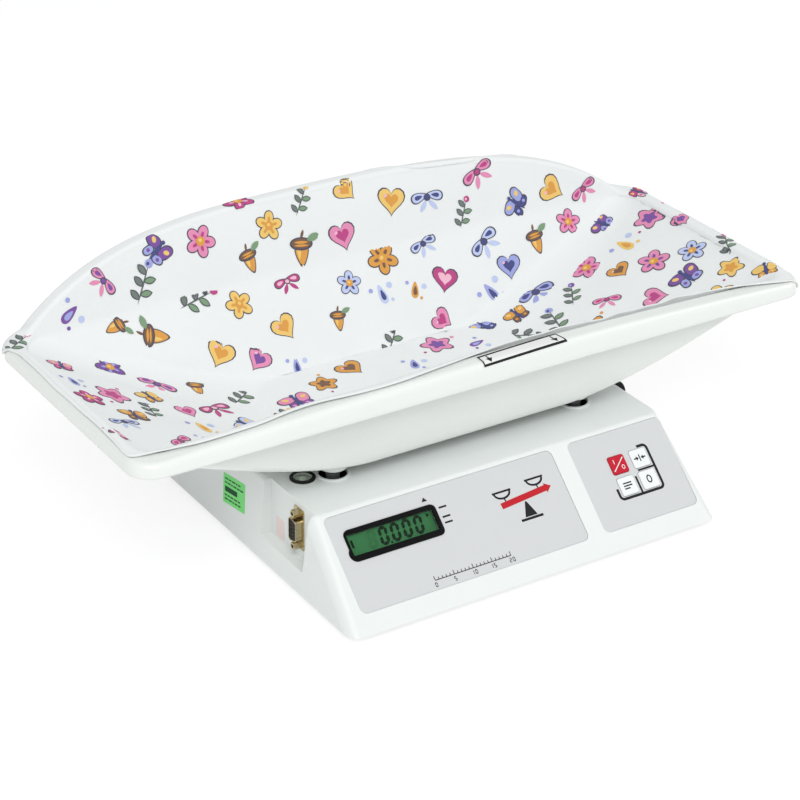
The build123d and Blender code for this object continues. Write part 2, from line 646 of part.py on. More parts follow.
def base_pan():
    """Bottom pan: a plate with an upstanding rim, foot wells with threaded bushes and stiffening ribs."""
    gap = HOUSING_WALL + PAN_GAP
    full = wedge(gap, FLOOR_GAP, DECK_HEIGHT - gap, HOUSING_CORNER - gap, PAN_EDGE)
    rim_gap = gap + PAN_RIM_WALL
    hollow = wedge(rim_gap, FLOOR_GAP, DECK_HEIGHT - rim_gap, HOUSING_CORNER - rim_gap, PAN_RIM_EDGE)
    rim = (full & across(PAN_TOP, PAN_TOP + PAN_RIM_HEIGHT)) - hollow
    pan = (full & across(FLOOR_GAP, PAN_TOP)) + rim
    for x, y in BOSSES:
        pan = pan - cylinder(x, y, PAN_TOP, PAN_TOP + 2 * PAN_RIM_HEIGHT, BOSS_RADIUS + PAN_GAP)
        pan = pan - cylinder(x, y, 0, PAN_TOP + OVERLAP, BOSS_SCREW_RADIUS + BOSS_SCREW_GAP)
        pan = pan - cylinder(x, y, 0, FLOOR_GAP + BOSS_SCREW_HEAD, BOSS_SCREW_HEAD_RADIUS + BOSS_SCREW_GAP)
    for x, y in FEET.values():
        pan = pan + cylinder(x, y, FLOOR_GAP, WELL_ROOF + FOOT_WELL_WALL, FOOT_WELL_RADIUS + FOOT_WELL_WALL)
        pan = pan + cylinder(x, y, WELL_ROOF, WELL_ROOF + FOOT_BUSH_LENGTH, FOOT_STUD_RADIUS + FOOT_BUSH_WALL)
        pan = pan - cylinder(x, y, 0, WELL_ROOF, FOOT_WELL_RADIUS)
        pan = pan - cylinder(x, y, 0, DECK_HEIGHT, FOOT_STUD_RADIUS + FOOT_STUD_GAP)
    # foot of the load cell: a raised seat, with the heads of its two screws let in from below
    reach_x = CELL_END_BLOCK / 2 + PAN_SEAT_MARGIN
    reach_y = CELL_WIDTH / 2 + PAN_SEAT_MARGIN
    seat = RectangleRounded(2 * reach_x, 2 * reach_y, PAN_SEAT_MARGIN)
    pan = pan + extrude(Pos(-CELL_SIDE, PLATFORM_CENTRE_Y, PAN_TOP) * seat, PAN_SEAT_RISE)
    for x in CELL_FOOT_SCREWS:
        radius = CELL_SCREW_RADIUS + CELL_SCREW_GAP
        pan = pan - cylinder(x, PLATFORM_CENTRE_Y, 0, CELL_BOTTOM, radius)
        radius = CELL_SCREW_HEAD_RADIUS + CELL_LOW_HEAD_GAP
        pan = pan - cylinder(x, PLATFORM_CENTRE_Y, 0, FOOT_HEAD_TOP, radius)
    # standoffs of the main board
    for x, y in MAIN_BOARD_POSTS:
        pan = pan + cylinder(x, y, PAN_TOP, MAIN_BOARD_LOW, BOARD_POST_RADIUS)
        low = MAIN_BOARD_TOP - BOARD_SCREW_LENGTH
        pan = pan - cylinder(x, y, low, MAIN_BOARD_LOW + OVERLAP, BOARD_SCREW_RADIUS)
    # low ribs beside the load cell
    for side in (-1, 1):
        y = PLATFORM_CENTRE_Y + side * (CELL_WIDTH / 2 + PAN_RIB_GAP)
        half, reach = PAN_RIB_LENGTH / 2, PAN_RIB_WIDTH / 2
        pan = pan + block(-half, half, y - reach, y + reach, PAN_TOP, PAN_TOP + PAN_RIB_HEIGHT)
    return pan


def pan_screws():
    """Screws that hold the pan to the housing, driven from below."""
    screws = []
    for x, y in BOSSES:
        head = cylinder(x, y, FLOOR_GAP, FLOOR_GAP + BOSS_SCREW_HEAD, BOSS_SCREW_HEAD_RADIUS)
        screws.append(head + cylinder(x, y, FLOOR_GAP, BOSS_SCREW_TOP, BOSS_SCREW_RADIUS))
    return Compound(children=screws)


# ---------------------------------------------------------------- console pieces
def display_overlay():
    """Film round the display."""
    film = recess_prism(DISPLAY_RECESS_LEFT, DISPLAY_RECESS_RIGHT, OVERLAY_GAP, -RECESS_DEPTH, OVERLAY_TOP)
    opening = offset(bezel_outline(), OVERLAY_GAP)
    return film - on_console(BEZEL_CENTRE_X, BEZEL_CENTRE_UP, -2 * RECESS_DEPTH, OVERLAP, opening)


def keypad_overlay():
    """Film round the keys."""
    film = recess_prism(KEYPAD_RECESS_LEFT, KEYPAD_RECESS_RIGHT, OVERLAY_GAP, -RECESS_DEPTH, OVERLAY_TOP)
    for opening in key_openings(-2 * RECESS_DEPTH):
        film = film - opening
    return film


def lcd_bezel():
    """Black frame round the display's window."""
    frame = on_console(BEZEL_CENTRE_X, BEZEL_CENTRE_UP, -RECESS_DEPTH, BEZEL_TOP, bezel_outline())
    frame = frame - window_prism(0, -2 * RECESS_DEPTH, BEZEL_TOP + OVERLAP)
    return chamfer(console_edges_at(frame, BEZEL_TOP), BEZEL_EDGE)


def lcd_lens():
    """Clear window that drops into the frame and stands on the housing's edge round the aperture."""
    return window_prism(SEAT_GAP, -RECESS_DEPTH, -RECESS_DEPTH + LENS_THICKNESS)


def lcd_panel():
    """Liquid crystal panel behind the window."""
    glass = Rectangle(WINDOW_WIDTH + 2 * LCD_BORDER, WINDOW_HEIGHT + 2 * LCD_BORDER)
    return on_console(WINDOW_X, WINDOW_UP, LCD_TOP - LCD_THICKNESS, LCD_TOP, glass)


def console_board(x, up, width, height, top):
    """Circuit board parallel to the slope, with its four screw holes."""
    board = on_console(x, up, top - BOARD_THICKNESS, top, RectangleRounded(width, height, BOARD_CORNER))
    hole = Circle(BOARD_SCREW_RADIUS + BOARD_SCREW_GAP)
    for hole_x, hole_up in board_places(x, up, width, height):
        board = board - on_console(hole_x, hole_up, top - 2 * BOARD_THICKNESS, top + OVERLAP, hole)
    return board


def board_screws():
    """Small pan-head screws of the three boards."""
    screws = []
    shank_radius = BOARD_SCREW_RADIUS - BOARD_SCREW_GAP
    for places, top in console_boards():
        under = top - BOARD_THICKNESS
        tip = min(under + BOARD_SCREW_LENGTH, -HOUSING_WALL) - BOARD_SCREW_GAP
        for x, up in places:
            head = on_console(x, up, under - BOARD_SCREW_HEAD, under, Circle(BOARD_SCREW_HEAD_RADIUS))
            screws.append(head + on_console(x, up, under - BOARD_SCREW_HEAD, tip, Circle(shank_radius)))
    low = MAIN_BOARD_TOP - BOARD_SCREW_LENGTH + BOARD_SCREW_GAP
    for x, y in MAIN_BOARD_POSTS:
        head = cylinder(x, y, MAIN_BOARD_TOP, MAIN_BOARD_TOP + BOARD_SCREW_HEAD, BOARD_SCREW_HEAD_RADIUS)
        screws.append(head + cylinder(x, y, low, MAIN_BOARD_TOP + BOARD_SCREW_HEAD, shank_radius))
    return Compound(children=screws)


def key_cap(name):
    """Key cap with a rounded top edge and the flange that keeps it under the housing."""
    x, up = key_place(name)
    cap = on_console(x, up, KEY_FLANGE_TOP, KEY_TOP, RectangleRounded(KEY_WIDTH, KEY_HEIGHT, KEY_CORNER))
    cap = fillet(console_edges_at(cap, KEY_TOP), KEY_EDGE)
    flange = Rectangle(KEY_WIDTH + 2 * KEY_FLANGE, KEY_HEIGHT + 2 * KEY_FLANGE)
    return cap + on_console(x, up, KEY_FLANGE_LOW, KEY_FLANGE_TOP, flange)


def key_plunger(name):
    """Plunger of the key's switch: it moves with the key inside the switch body."""
    x, up = key_place(name)
    return on_console(x, up, SWITCH_TOP - PLUNGER_ENTRY, KEY_FLANGE_LOW, Circle(PLUNGER_RADIUS))


def key_switches():
    """Four switch bodies, each with the bore of its plunger."""
    bodies = []
    bore = SWITCH_TOP - PLUNGER_ENTRY - KEY_TRAVEL - KEY_STOP_GAP
    for name in KEYS:
        x, up = key_place(name)
        body = on_console(x, up, KEYPAD_BOARD_TOP, SWITCH_TOP, Rectangle(SWITCH_SIDE, SWITCH_SIDE))
        hole = on_console(x, up, bore, SWITCH_TOP + OVERLAP, Circle(PLUNGER_RADIUS + PLUNGER_GAP))
        bodies.append(body - hole)
    return Compound(children=bodies)


# ---------------------------------------------------------------- platform and load cell
def load_cell():
    """Single-point bending beam: a bar with a dumb-bell cut-out and threaded holes at both ends."""
    front, back = PLATFORM_CENTRE_Y - CELL_WIDTH / 2, PLATFORM_CENTRE_Y + CELL_WIDTH / 2
    beam = block(-CELL_LENGTH / 2, CELL_LENGTH / 2, front, back, CELL_BOTTOM, CELL_TOP)
    middle = (CELL_BOTTOM + CELL_TOP) / 2
    half_pitch, half_slot = CELL_HOLE_PITCH / 2, CELL_SLOT / 2
    for side in (-1, 1):
        hole = Pos(side * half_pitch, PLATFORM_CENTRE_Y, middle) * Rot(90, 0, 0)
        beam = beam - hole * Cylinder(CELL_HOLE_RADIUS, 2 * CELL_WIDTH)
    slot = block(-half_pitch, half_pitch, 0, 2 * PLATFORM_CENTRE_Y, middle - half_slot, middle + half_slot)
    beam = beam - slot
    radius = CELL_SCREW_RADIUS + CELL_SCREW_GAP
    depth = CELL_SCREW_BITE + CELL_HOLE_EXTRA
    for x in CELL_FOOT_SCREWS:
        beam = beam - cylinder(x, PLATFORM_CENTRE_Y, 0, CELL_BOTTOM + depth, radius)
    for x in CELL_HEAD_SCREWS:
        beam = beam - cylinder(x, PLATFORM_CENTRE_Y, CELL_TOP - depth, DECK_HEIGHT, radius)
    return beam


def cell_spacer(centre_x, low, high, screws):
    """Flat spacer under or over one end of the load cell."""
    half = CELL_END_BLOCK / 2
    front, back = PLATFORM_CENTRE_Y - CELL_WIDTH / 2, PLATFORM_CENTRE_Y + CELL_WIDTH / 2
    spacer = block(centre_x - half, centre_x + half, front, back, low, high)
    for x in screws:
        spacer = spacer - cylinder(x, PLATFORM_CENTRE_Y, 0, DECK_HEIGHT, CELL_SCREW_RADIUS + CELL_SCREW_GAP)
    return spacer


def cell_foot_screws():
    """Low-head screws from under the pan into the fixed end of the load cell."""
    screws = []
    for x in CELL_FOOT_SCREWS:
        low = FOOT_HEAD_TOP - CELL_LOW_HEAD
        head = cylinder(x, PLATFORM_CENTRE_Y, low, FOOT_HEAD_TOP, CELL_SCREW_HEAD_RADIUS)
        shank = cylinder(x, PLATFORM_CENTRE_Y, low, CELL_BOTTOM + CELL_SCREW_BITE, CELL_SCREW_RADIUS)
        screws.append(head + shank)
    return Compound(children=screws)


def cell_head_screws():
    """Socket-head screws through the spider into the live end of the load cell."""
    screws = []
    top = SPIDER_TOP + CELL_SCREW_HEAD
    for x in CELL_HEAD_SCREWS:
        head = cylinder(x, PLATFORM_CENTRE_Y, SPIDER_TOP, top, CELL_SCREW_HEAD_RADIUS)
        socket = Pos(x, PLATFORM_CENTRE_Y, top - CELL_SCREW_SOCKET) * RegularPolygon(CELL_SCREW_RADIUS, 6)
        shank = cylinder(x, PLATFORM_CENTRE_Y, CELL_TOP - CELL_SCREW_BITE, SPIDER_TOP, CELL_SCREW_RADIUS)
        screws.append(head - extrude(socket, CELL_SCREW_HEAD) + shank)
    return Compound(children=screws)


def platform_spider():
    """Pressed steel carrier: a hub plate on the load cell and four ribbed arms out to the posts."""
    plan = Pos(0, PLATFORM_CENTRE_Y) * RectangleRounded(2 * HUB_HALF, HUB_WIDTH, SPIDER_HUB_CORNER)
    ribs = []
    for x, y in POSTS:
        root_x = (HUB_HALF - SPIDER_ARM_ROOT) * (1 if x > 0 else -1)
        dx, dy = x - root_x, y - PLATFORM_CENTRE_Y
        length = (dx * dx + dy * dy) ** 0.5
        middle = Pos((x + root_x) / 2, (y + PLATFORM_CENTRE_Y) / 2) * Rot(0, 0, degrees(atan2(dy, dx)))
        plan = plan + middle * SlotCenterToCenter(length, 2 * SPIDER_ARM_RADIUS)
        strip = Rectangle(length - 2 * SPIDER_ARM_RADIUS, SPIDER_RIB_WIDTH)
        for side in (-1, 1):
            placed = middle * Pos(0, side * (SPIDER_ARM_RADIUS - SPIDER_RIB_WIDTH / 2)) * strip
            foot = Pos(0, 0, SPIDER_BOTTOM - SPIDER_RIB_HEIGHT)
            ribs.append(extrude(foot * placed, SPIDER_RIB_HEIGHT + OVERLAP))
    for side in (-1, 1):
        plan = plan - Pos(side * SPIDER_WINDOW_PITCH / 2, PLATFORM_CENTRE_Y) * Circle(SPIDER_WINDOW_RADIUS)
    spider = extrude(Pos(0, 0, SPIDER_BOTTOM) * plan, SPIDER_THICKNESS)
    reach = CELL_WIDTH / 2 + SPIDER_RIB_GAP
    front, back = PLATFORM_CENTRE_Y - reach, PLATFORM_CENTRE_Y + reach
    keep_out = block(-BASE_WIDTH, BASE_WIDTH, front, back, 0, SPIDER_BOTTOM)
    for rib in ribs:
        spider = spider + (rib - keep_out)
    for x in CELL_HEAD_SCREWS:
        spider = spider - cylinder(x, PLATFORM_CENTRE_Y, 0, DECK_HEIGHT, CELL_SCREW_RADIUS + CELL_SCREW_GAP)
    return spider


def support_posts():
    """Four turned posts that stand on the spider's arms and pass up through the deck."""
    posts = []
    for x, y in POSTS:
        post = chamfer(edges_at(cylinder(x, y, SPIDER_TOP, POST_TOP, POST_RADIUS), POST_TOP), POST_EDGE)
        foot = cylinder(x, y, SPIDER_TOP, SPIDER_TOP + POST_FOOT_HEIGHT, POST_RADIUS + POST_FOOT_WIDTH)
        posts.append(post + foot)
    return Compound(children=posts)


def post_caps():
    """Rubber caps pulled over the tops of the posts; the tray stands on them."""
    caps = []
    for x, y in POSTS:
        cap = cylinder(x, y, CAP_TOP - CAP_HEIGHT, CAP_TOP, CAP_RADIUS)
        cap = chamfer(edges_at(cap, CAP_TOP), CAP_EDGE)
        caps.append(cap - cylinder(x, y, CAP_TOP - 2 * CAP_HEIGHT, POST_TOP, POST_RADIUS))
    return Compound(children=caps)


def overload_stops():
    """Two stop screws in the pan, just under the hub, that catch the platform when it is overloaded."""
    stops = []
    for side in (-1, 1):
        y = PLATFORM_CENTRE_Y + side * (CELL_WIDTH / 2 - STOP_SCREW_INSET)
        screw = cylinder(STOP_SCREW_X, y, PAN_TOP, SPIDER_BOTTOM - STOP_SCREW_CLEARANCE, STOP_SCREW_RADIUS)
        nut = extrude(Pos(STOP_SCREW_X, y, PAN_TOP) * RegularPolygon(STOP_NUT_RADIUS, 6), STOP_NUT_HEIGHT)
        stops.append(screw + nut)
    return Compound(children=stops)


# ---------------------------------------------------------------- tray
def wall_part(z):
    """Share of the way from the tray's floor to the top of its walls."""
    return min(max(z - TRAY_FLOOR, 0) / (WALL_TOP - TRAY_FLOOR), 1)


def end_spread(z):
    """Half length of the tray's outer surface at a height."""
    reach = TRAY_HALF - TRAY_END_LEDGE - TRAY_FLOOR_HALF
    return TRAY_FLOOR_HALF + reach * wall_part(z) ** (1 / TRAY_END_POWER)


def front_line(z):
    """Y of the tray's front wall at a height."""
    reach = TRAY_FLOOR_FRONT_Y - TRAY_FRONT_Y - TRAY_FRONT_LEDGE
    return TRAY_FLOOR_FRONT_Y - reach * wall_part(z) ** TRAY_FRONT_POWER


def back_line(z):
    """Y of the tray's back wall at its ends, at a height."""
    above = max(z - WALL_TOP, 0) * TRAY_BACK_LEAN
    return TRAY_FLOOR_BACK_Y + TRAY_BACK_GAIN * wall_part(z) ** TRAY_BACK_POWER + above


def back_bow(z, half):
    """How far the back wall bows out at its middle, for a ring of this half length."""
    return max(TRAY_BOW_RATE * (z - TRAY_FLOOR), TRAY_LEAST_BOW) * min(half / ARCH_HALF, 1) ** 2


def plan_ring(z, half, front, back, bow, corner):
    """Rounded plan outline at a height, with a bowed back edge."""
    outline = make_face(
        [
            Line((-half, front), (half, front)),
            Line((half, front), (half, back)),
            ThreePointArc((half, back), (0, back + bow), (-half, back)),
            Line((-half, back), (-half, front)),
        ]
    )
    return Pos(0, 0, z) * fillet(outline.vertices(), corner)


def bowl(wall):
    """Solid basin shape up past the crest; a wall above 0 gives the inner surface instead of the outer."""
    rings = []
    for step in BOWL_STEPS:
        z = TRAY_FLOOR + (WALL_TOP - TRAY_FLOOR) * step**TRAY_END_POWER
        half = end_spread(z)
        front, back = front_line(z) + WALL_SHARE_Y * wall, back_line(z) - WALL_SHARE_Y * wall
        corner = TRAY_FLOOR_CORNER + (TRAY_CORNER - TRAY_FLOOR_CORNER) * wall_part(z)
        rings.append(plan_ring(z + wall, half - WALL_SHARE_X * wall, front, back, back_bow(z, half), corner))
    return loft(rings)


def arch_height(x):
    """Height of the back's arch above the level rim."""
    return TRAY_ARCH_RISE * (1 - min(abs(x) / ARCH_HALF, 1) ** TRAY_ARCH_POWER) ** TRAY_ARCH_ROUND


def nose_height(x):
    """Height of the front's gentle arch above the level rim."""
    return TRAY_NOSE_RISE * (1 - min(abs(x) / ARCH_HALF, 1) ** 2)


def arched_block(level, half, height_at, start, end):
    """Block under an arched crest line, between two distances back."""
    xs = [-half + 2 * half * i / ARCH_POINTS for i in range(ARCH_POINTS + 1)]
    crest = Spline([(x, 0, level + height_at(x)) for x in xs])
    low = level - TRAY_SKIRT_WALL
    base = Polyline((half, 0, level), (half, 0, low), (-half, 0, low), (-half, 0, level))
    return Pos(0, start, 0) * extrude(make_face([crest, base]), end - start, dir=(0, 1, 0))


def under_rim(drop, nose):
    """Everything below the rim, lowered by drop: level at the ends, arched along the back.

    With nose the front has its gentle arch too, otherwise it is level.
    """
    level = TRAY_RIM_HEIGHT - drop
    low = block(-TRAY_LENGTH, TRAY_LENGTH, 0, 2 * BASE_DEPTH, 0, level)
    low = low + arched_block(level, ARCH_HALF, arch_height, PLATFORM_CENTRE_Y, 2 * BASE_DEPTH)
    if nose:
        low = low + arched_block(level, ARCH_HALF, nose_height, 0, PLATFORM_CENTRE_Y)
    return low


def lip_block(inset):
    """Outer outline of the rim, straight at the front and ends and leaning with the back wall."""
    rings = []
    for z in (TRAY_FLOOR, WALL_TOP, TRAY_CREST + TRAY_SKIRT):
        level = max(z, WALL_TOP)
        back = back_line(level) + TRAY_BACK_LEDGE - inset
        bow = back_bow(level, ARCH_HALF)
        rings.append(plan_ring(z, TRAY_HALF - inset, TRAY_FRONT_Y + inset, back, bow, TRAY_CORNER - inset))
    return loft(rings, ruled=True)


def lip_half(front, back):
    """The rim's outer body between two distances back, its outer top edge rounded."""
    body = lip_block(0) & under_rim(0, True)
    body = body & block(-TRAY_LENGTH, TRAY_LENGTH, front, back, 0, 2 * TRAY_CREST)

    def on_shoulder(edge):
        middle = edge.position_at(0.5)
        on_cut = abs(middle.Y - PLATFORM_CENTRE_Y) < EDGE_SEARCH
        lies_high = middle.Z > TRAY_RIM_HEIGHT - EDGE_SEARCH and abs(edge.tangent_at(0.5).Z) < 1 - EDGE_SEARCH
        inner = abs(abs(middle.X) - ARCH_HALF) < EDGE_SEARCH and abs(edge.tangent_at(0.5).Y) > 1 - EDGE_SEARCH
        return lies_high and not on_cut and not inner

    return fillet([e for e in body.edges() if on_shoulder(e)], TRAY_SHOULDER)


def rounded_lip():
    """The rim's outer body with its outer top edge rounded, built as a front and a back half."""
    return lip_half(0, PLATFORM_CENTRE_Y) + lip_half(PLATFORM_CENTRE_Y, 2 * BASE_DEPTH)


def tray_shell():
    """Moulded tray: basin, rim with a turned-down skirt, and four sockets for the rubber caps."""
    outside = bowl(0)
    band = rounded_lip() - under_rim(TRAY_SKIRT, False)
    channel = lip_block(TRAY_SKIRT_WALL) & under_rim(TRAY_SKIRT_WALL, True)
    channel = channel - under_rim(TRAY_SKIRT + OVERLAP, False)
    body = (outside & rounded_lip()) + band
    body = body - (channel - outside) - bowl(TRAY_WALL)
    low = TRAY_FLOOR - SOCKET_DEPTH
    for x, y in POSTS:
        body = body + cylinder(x, y, low, TRAY_FLOOR + TRAY_WALL / 2, SOCKET_BORE + SOCKET_WALL)
        body = body - cylinder(x, y, low - OVERLAP, TRAY_FLOOR, SOCKET_BORE)
    return body


def tray_liner():
    """Cloth liner: a thin skin over the inside of the tray, stopping just under the rim."""
    under = TRAY_WALL + LINER_GAP
    return (bowl(under) & under_rim(LINER_RIM_DROP, True)) - bowl(under + LINER_THICKNESS)

def rim_label():
    """Label laid over the rim's front shoulder: the rim's outer body moved out and up, less itself."""
    lip = lip_half(0, PLATFORM_CENTRE_Y)
    skin = (Pos(0, -RIM_LABEL_THICKNESS, RIM_LABEL_THICKNESS) * lip) - lip
    left, right = RIM_LABEL_X - RIM_LABEL_WIDTH / 2, RIM_LABEL_X + RIM_LABEL_WIDTH / 2
    low = TRAY_RIM_HEIGHT + TRAY_NOSE_RISE - RIM_LABEL_FALL
    front = TRAY_FRONT_Y - OVERLAP
    return skin & block(left, right, front, TRAY_FRONT_Y + RIM_LABEL_REACH, low, TRAY_CREST)


# ---------------------------------------------------------------- serial connector
def connector_at(depth):
    """Location on the connector's axis, facing out of the left wall; depth is measured outwards."""
    return turned_to_x(-POCKET_FLOOR_X - depth, CONNECTOR_Y, CONNECTOR_Z, -1)


def d_outline(shrink):
    """The D shape of the shell, one long side shorter than the other, made smaller all round."""
    half, wide = SHELL_WIDTH / 2 - shrink, SHELL_LENGTH / 2 - shrink
    narrow = wide - SHELL_TAPER
    corners = (half, -wide), (half, wide), (-half, narrow), (-half, -narrow)
    outline = make_face(Polyline(*corners, close=True))
    return fillet(outline.vertices(), SHELL_CORNER)


def jack_places():
    """Places of the two jackscrews on the connector's face."""
    return [Pos(0, side * JACK_SPACING / 2) for side in (-1, 1)]


def serial_shell():
    """Plated steel flange and D-shaped shell, drawn from one sheet."""
    flange = RectangleRounded(FLANGE_WIDTH, FLANGE_LENGTH, FLANGE_CORNER) - d_outline(SHELL_WALL)
    for place in jack_places():
        flange = flange - place * Circle(JACK_STUD_RADIUS + JACK_STUD_GAP)
    ring = d_outline(0) - d_outline(SHELL_WALL)
    return extrude(connector_at(0) * flange, FLANGE_THICKNESS) + extrude(connector_at(0) * ring, SHELL_REACH)


def pin_places():
    """Five and four contacts in two rows."""
    rows = [(PIN_ROW / 2, 5), (-PIN_ROW / 2, 4)]
    return [(row, (i - (count - 1) / 2) * PIN_PITCH) for row, count in rows for i in range(count)]


def serial_insulator():
    """Moulded block behind the flange and its D-shaped face inside the shell, bored for the contacts."""
    depth = HOUSING_WALL + CONNECTOR_BODY_DEPTH
    back = Rectangle(SHELL_WIDTH - 2 * INSULATOR_BODY_INSET, SHELL_LENGTH - 2 * INSULATOR_BODY_INSET)
    whole = extrude(connector_at(-depth) * back, depth - INSULATOR_GAP)
    face = d_outline(SHELL_WALL + INSULATOR_GAP)
    whole = whole + extrude(connector_at(-OVERLAP) * face, INSULATOR_REACH + OVERLAP)
    hole = Circle(PIN_RADIUS + INSULATOR_GAP)
    for u, v in pin_places():
        whole = whole - extrude(connector_at(-depth) * Pos(u, v) * hole, depth + INSULATOR_REACH + OVERLAP)
    return whole


def serial_contacts():
    """Nine round contacts with their tails behind the block."""
    depth = HOUSING_WALL + CONNECTOR_BODY_DEPTH + PIN_TAIL
    length = depth + INSULATOR_REACH - PIN_TIP_INSET
    pins = [extrude(connector_at(-depth) * Pos(u, v) * Circle(PIN_RADIUS), length) for u, v in pin_places()]
    return Compound(children=pins)


def serial_jackscrews():
    """Hexagonal jackscrews that hold the connector and take the plug's screws."""
    screws = []
    mouth = FLANGE_THICKNESS + JACK_REACH
    length = HOUSING_WALL + FLANGE_THICKNESS + JACK_STUD_TAIL
    for place in jack_places():
        hexagon = RegularPolygon(JACK_HEX / 2, 6, major_radius=False)
        nut = extrude(connector_at(FLANGE_THICKNESS) * place * hexagon, JACK_REACH)
        bore_at = connector_at(mouth - JACK_BORE_DEPTH) * place
        bore = extrude(bore_at * Circle(JACK_BORE_RADIUS), JACK_BORE_DEPTH + OVERLAP)
        stud_at = connector_at(FLANGE_THICKNESS - length) * place
        screws.append(nut - bore + extrude(stud_at * Circle(JACK_STUD_RADIUS), length))
    return Compound(children=screws)


def serial_label():
    """Small bare sticker on the pocket's floor, beside the connector."""
    half = SERIAL_LABEL_WIDTH / 2
    front, back = SERIAL_LABEL_Y - half, SERIAL_LABEL_Y + half
    low = POCKET_BOTTOM + SERIAL_LABEL_RISE
    outside = -POCKET_FLOOR_X - LABEL_THICKNESS
    return block(outside, -POCKET_FLOOR_X, front, back, low, low + SERIAL_LABEL_HEIGHT)


def side_label():
    """Plain sticker on the sloping left wall, put on a little askew."""
    face = Plane(
        origin=(-side_wall(SIDE_LABEL_Z), SIDE_LABEL_Y, SIDE_LABEL_Z),
        x_dir=(0, -1, 0),
        z_dir=(-cos(SIDE_ANGLE), 0, sin(SIDE_ANGLE)),
    )
    outline = RectangleRounded(SIDE_LABEL_WIDTH, SIDE_LABEL_HEIGHT, LABEL_CORNER)
    return extrude(face * (Rot(0, 0, SIDE_LABEL_TURN) * outline), LABEL_THICKNESS)


# ---------------------------------------------------------------- power inlet
def inlet_seat():
    """X of the flange's inner face: the wall's outer face at the flange's lowest point."""
    return side_wall(INLET_Z - INLET_FLANGE_RADIUS)


def barrel(low, high, radius):
    """Cylinder along X on the inlet's axis, between two distances from the middle plane."""
    return turned_to_x((low + high) / 2, INLET_Y, INLET_Z, 1) * Cylinder(radius, high - low)


def power_inlet():
    """Round socket: flange outside the wall, body inside it, collar and blind bore for the plug."""
    seat = inlet_seat()
    mouth = seat + INLET_COLLAR_REACH
    socket = barrel(seat, seat + INLET_FLANGE, INLET_FLANGE_RADIUS)
    socket = socket + barrel(seat - INLET_BODY_DEPTH, seat + INLET_FLANGE, INLET_BODY_RADIUS)
    socket = socket + barrel(seat, mouth, INLET_COLLAR_RADIUS)
    return socket - barrel(mouth - INLET_BORE_DEPTH, mouth + OVERLAP, INLET_BORE_RADIUS)


def inlet_pin():
    """Centre contact of the power inlet."""
    mouth = inlet_seat() + INLET_COLLAR_REACH
    return barrel(mouth - INLET_BORE_DEPTH, mouth - INLET_PIN_INSET, INLET_PIN_RADIUS)


# ---------------------------------------------------------------- level vial
def level_ring():
    """Dark ring on the deck round the vial."""
    top = DECK_HEIGHT + LEVEL_RING_RISE
    ring = cylinder(LEVEL_X, LEVEL_Y, DECK_HEIGHT, top, LEVEL_RING_RADIUS)
    ring = chamfer(edges_at(ring, top), LEVEL_RING_EDGE)
    return ring - cylinder(LEVEL_X, LEVEL_Y, 0, 2 * DECK_HEIGHT, LEVEL_VIAL_RADIUS + LEVEL_GAP)


def level_vial():
    """Clear cup with a flange under the deck and the cavity of the liquid."""
    low = LEVEL_TOP - LEVEL_VIAL_DEPTH
    vial = cylinder(LEVEL_X, LEVEL_Y, low, LEVEL_TOP, LEVEL_VIAL_RADIUS)
    flange = cylinder(LEVEL_X, LEVEL_Y, low - LEVEL_FLANGE_THICKNESS, low, LEVEL_VIAL_RADIUS + LEVEL_FLANGE)
    floor, roof = low + LEVEL_VIAL_FLOOR, LEVEL_TOP - LEVEL_WINDOW_THICKNESS
    return vial + flange - cylinder(LEVEL_X, LEVEL_Y, floor, roof, LEVEL_VIAL_RADIUS - LEVEL_VIAL_WALL)


def level_bubble():
    """The bubble, drawn as a flat lens under the vial's window."""
    top = LEVEL_TOP - LEVEL_WINDOW_THICKNESS
    low = top - LEVEL_BUBBLE_HEIGHT
    bubble = cylinder(LEVEL_X, LEVEL_Y, low, top, LEVEL_BUBBLE_RADIUS)
    return fillet(edges_at(bubble, low), LEVEL_BUBBLE_EDGE)


# ---------------------------------------------------------------- electronics inside
def main_board():
    """Main circuit board on the pan's standoffs."""
    half, depth = MAIN_BOARD_WIDTH / 2, MAIN_BOARD_DEPTH / 2
    front, back = MAIN_BOARD_CENTRE_Y - depth, MAIN_BOARD_CENTRE_Y + depth
    board = block(-half, half, front, back, MAIN_BOARD_LOW, MAIN_BOARD_TOP)
    for x, y in MAIN_BOARD_POSTS:
        board = board - cylinder(x, y, 0, DECK_HEIGHT, BOARD_SCREW_RADIUS + BOARD_SCREW_GAP)
    return board


def board_part(x, shift_y, length, width, height):
    """Upright block on the main board."""
    y = MAIN_BOARD_CENTRE_Y + shift_y
    return block(
        x - length / 2,
        x + length / 2,
        y - width / 2,
        y + width / 2,
        MAIN_BOARD_TOP,
        MAIN_BOARD_TOP + height,
    )


def main_board_chips():
    """Converter under its can, processor and voltage regulator."""
    can = board_part(CAN_X, 0, CAN_LENGTH, CAN_WIDTH, CAN_HEIGHT)
    processor = board_part(PROCESSOR_X, 0, PROCESSOR_SIDE, PROCESSOR_SIDE, PROCESSOR_HEIGHT)
    sides = REGULATOR_LENGTH, REGULATOR_WIDTH, REGULATOR_HEIGHT
    regulator = board_part(REGULATOR_X, REGULATOR_SHIFT_Y, *sides)
    return Compound(children=[can, processor, regulator])


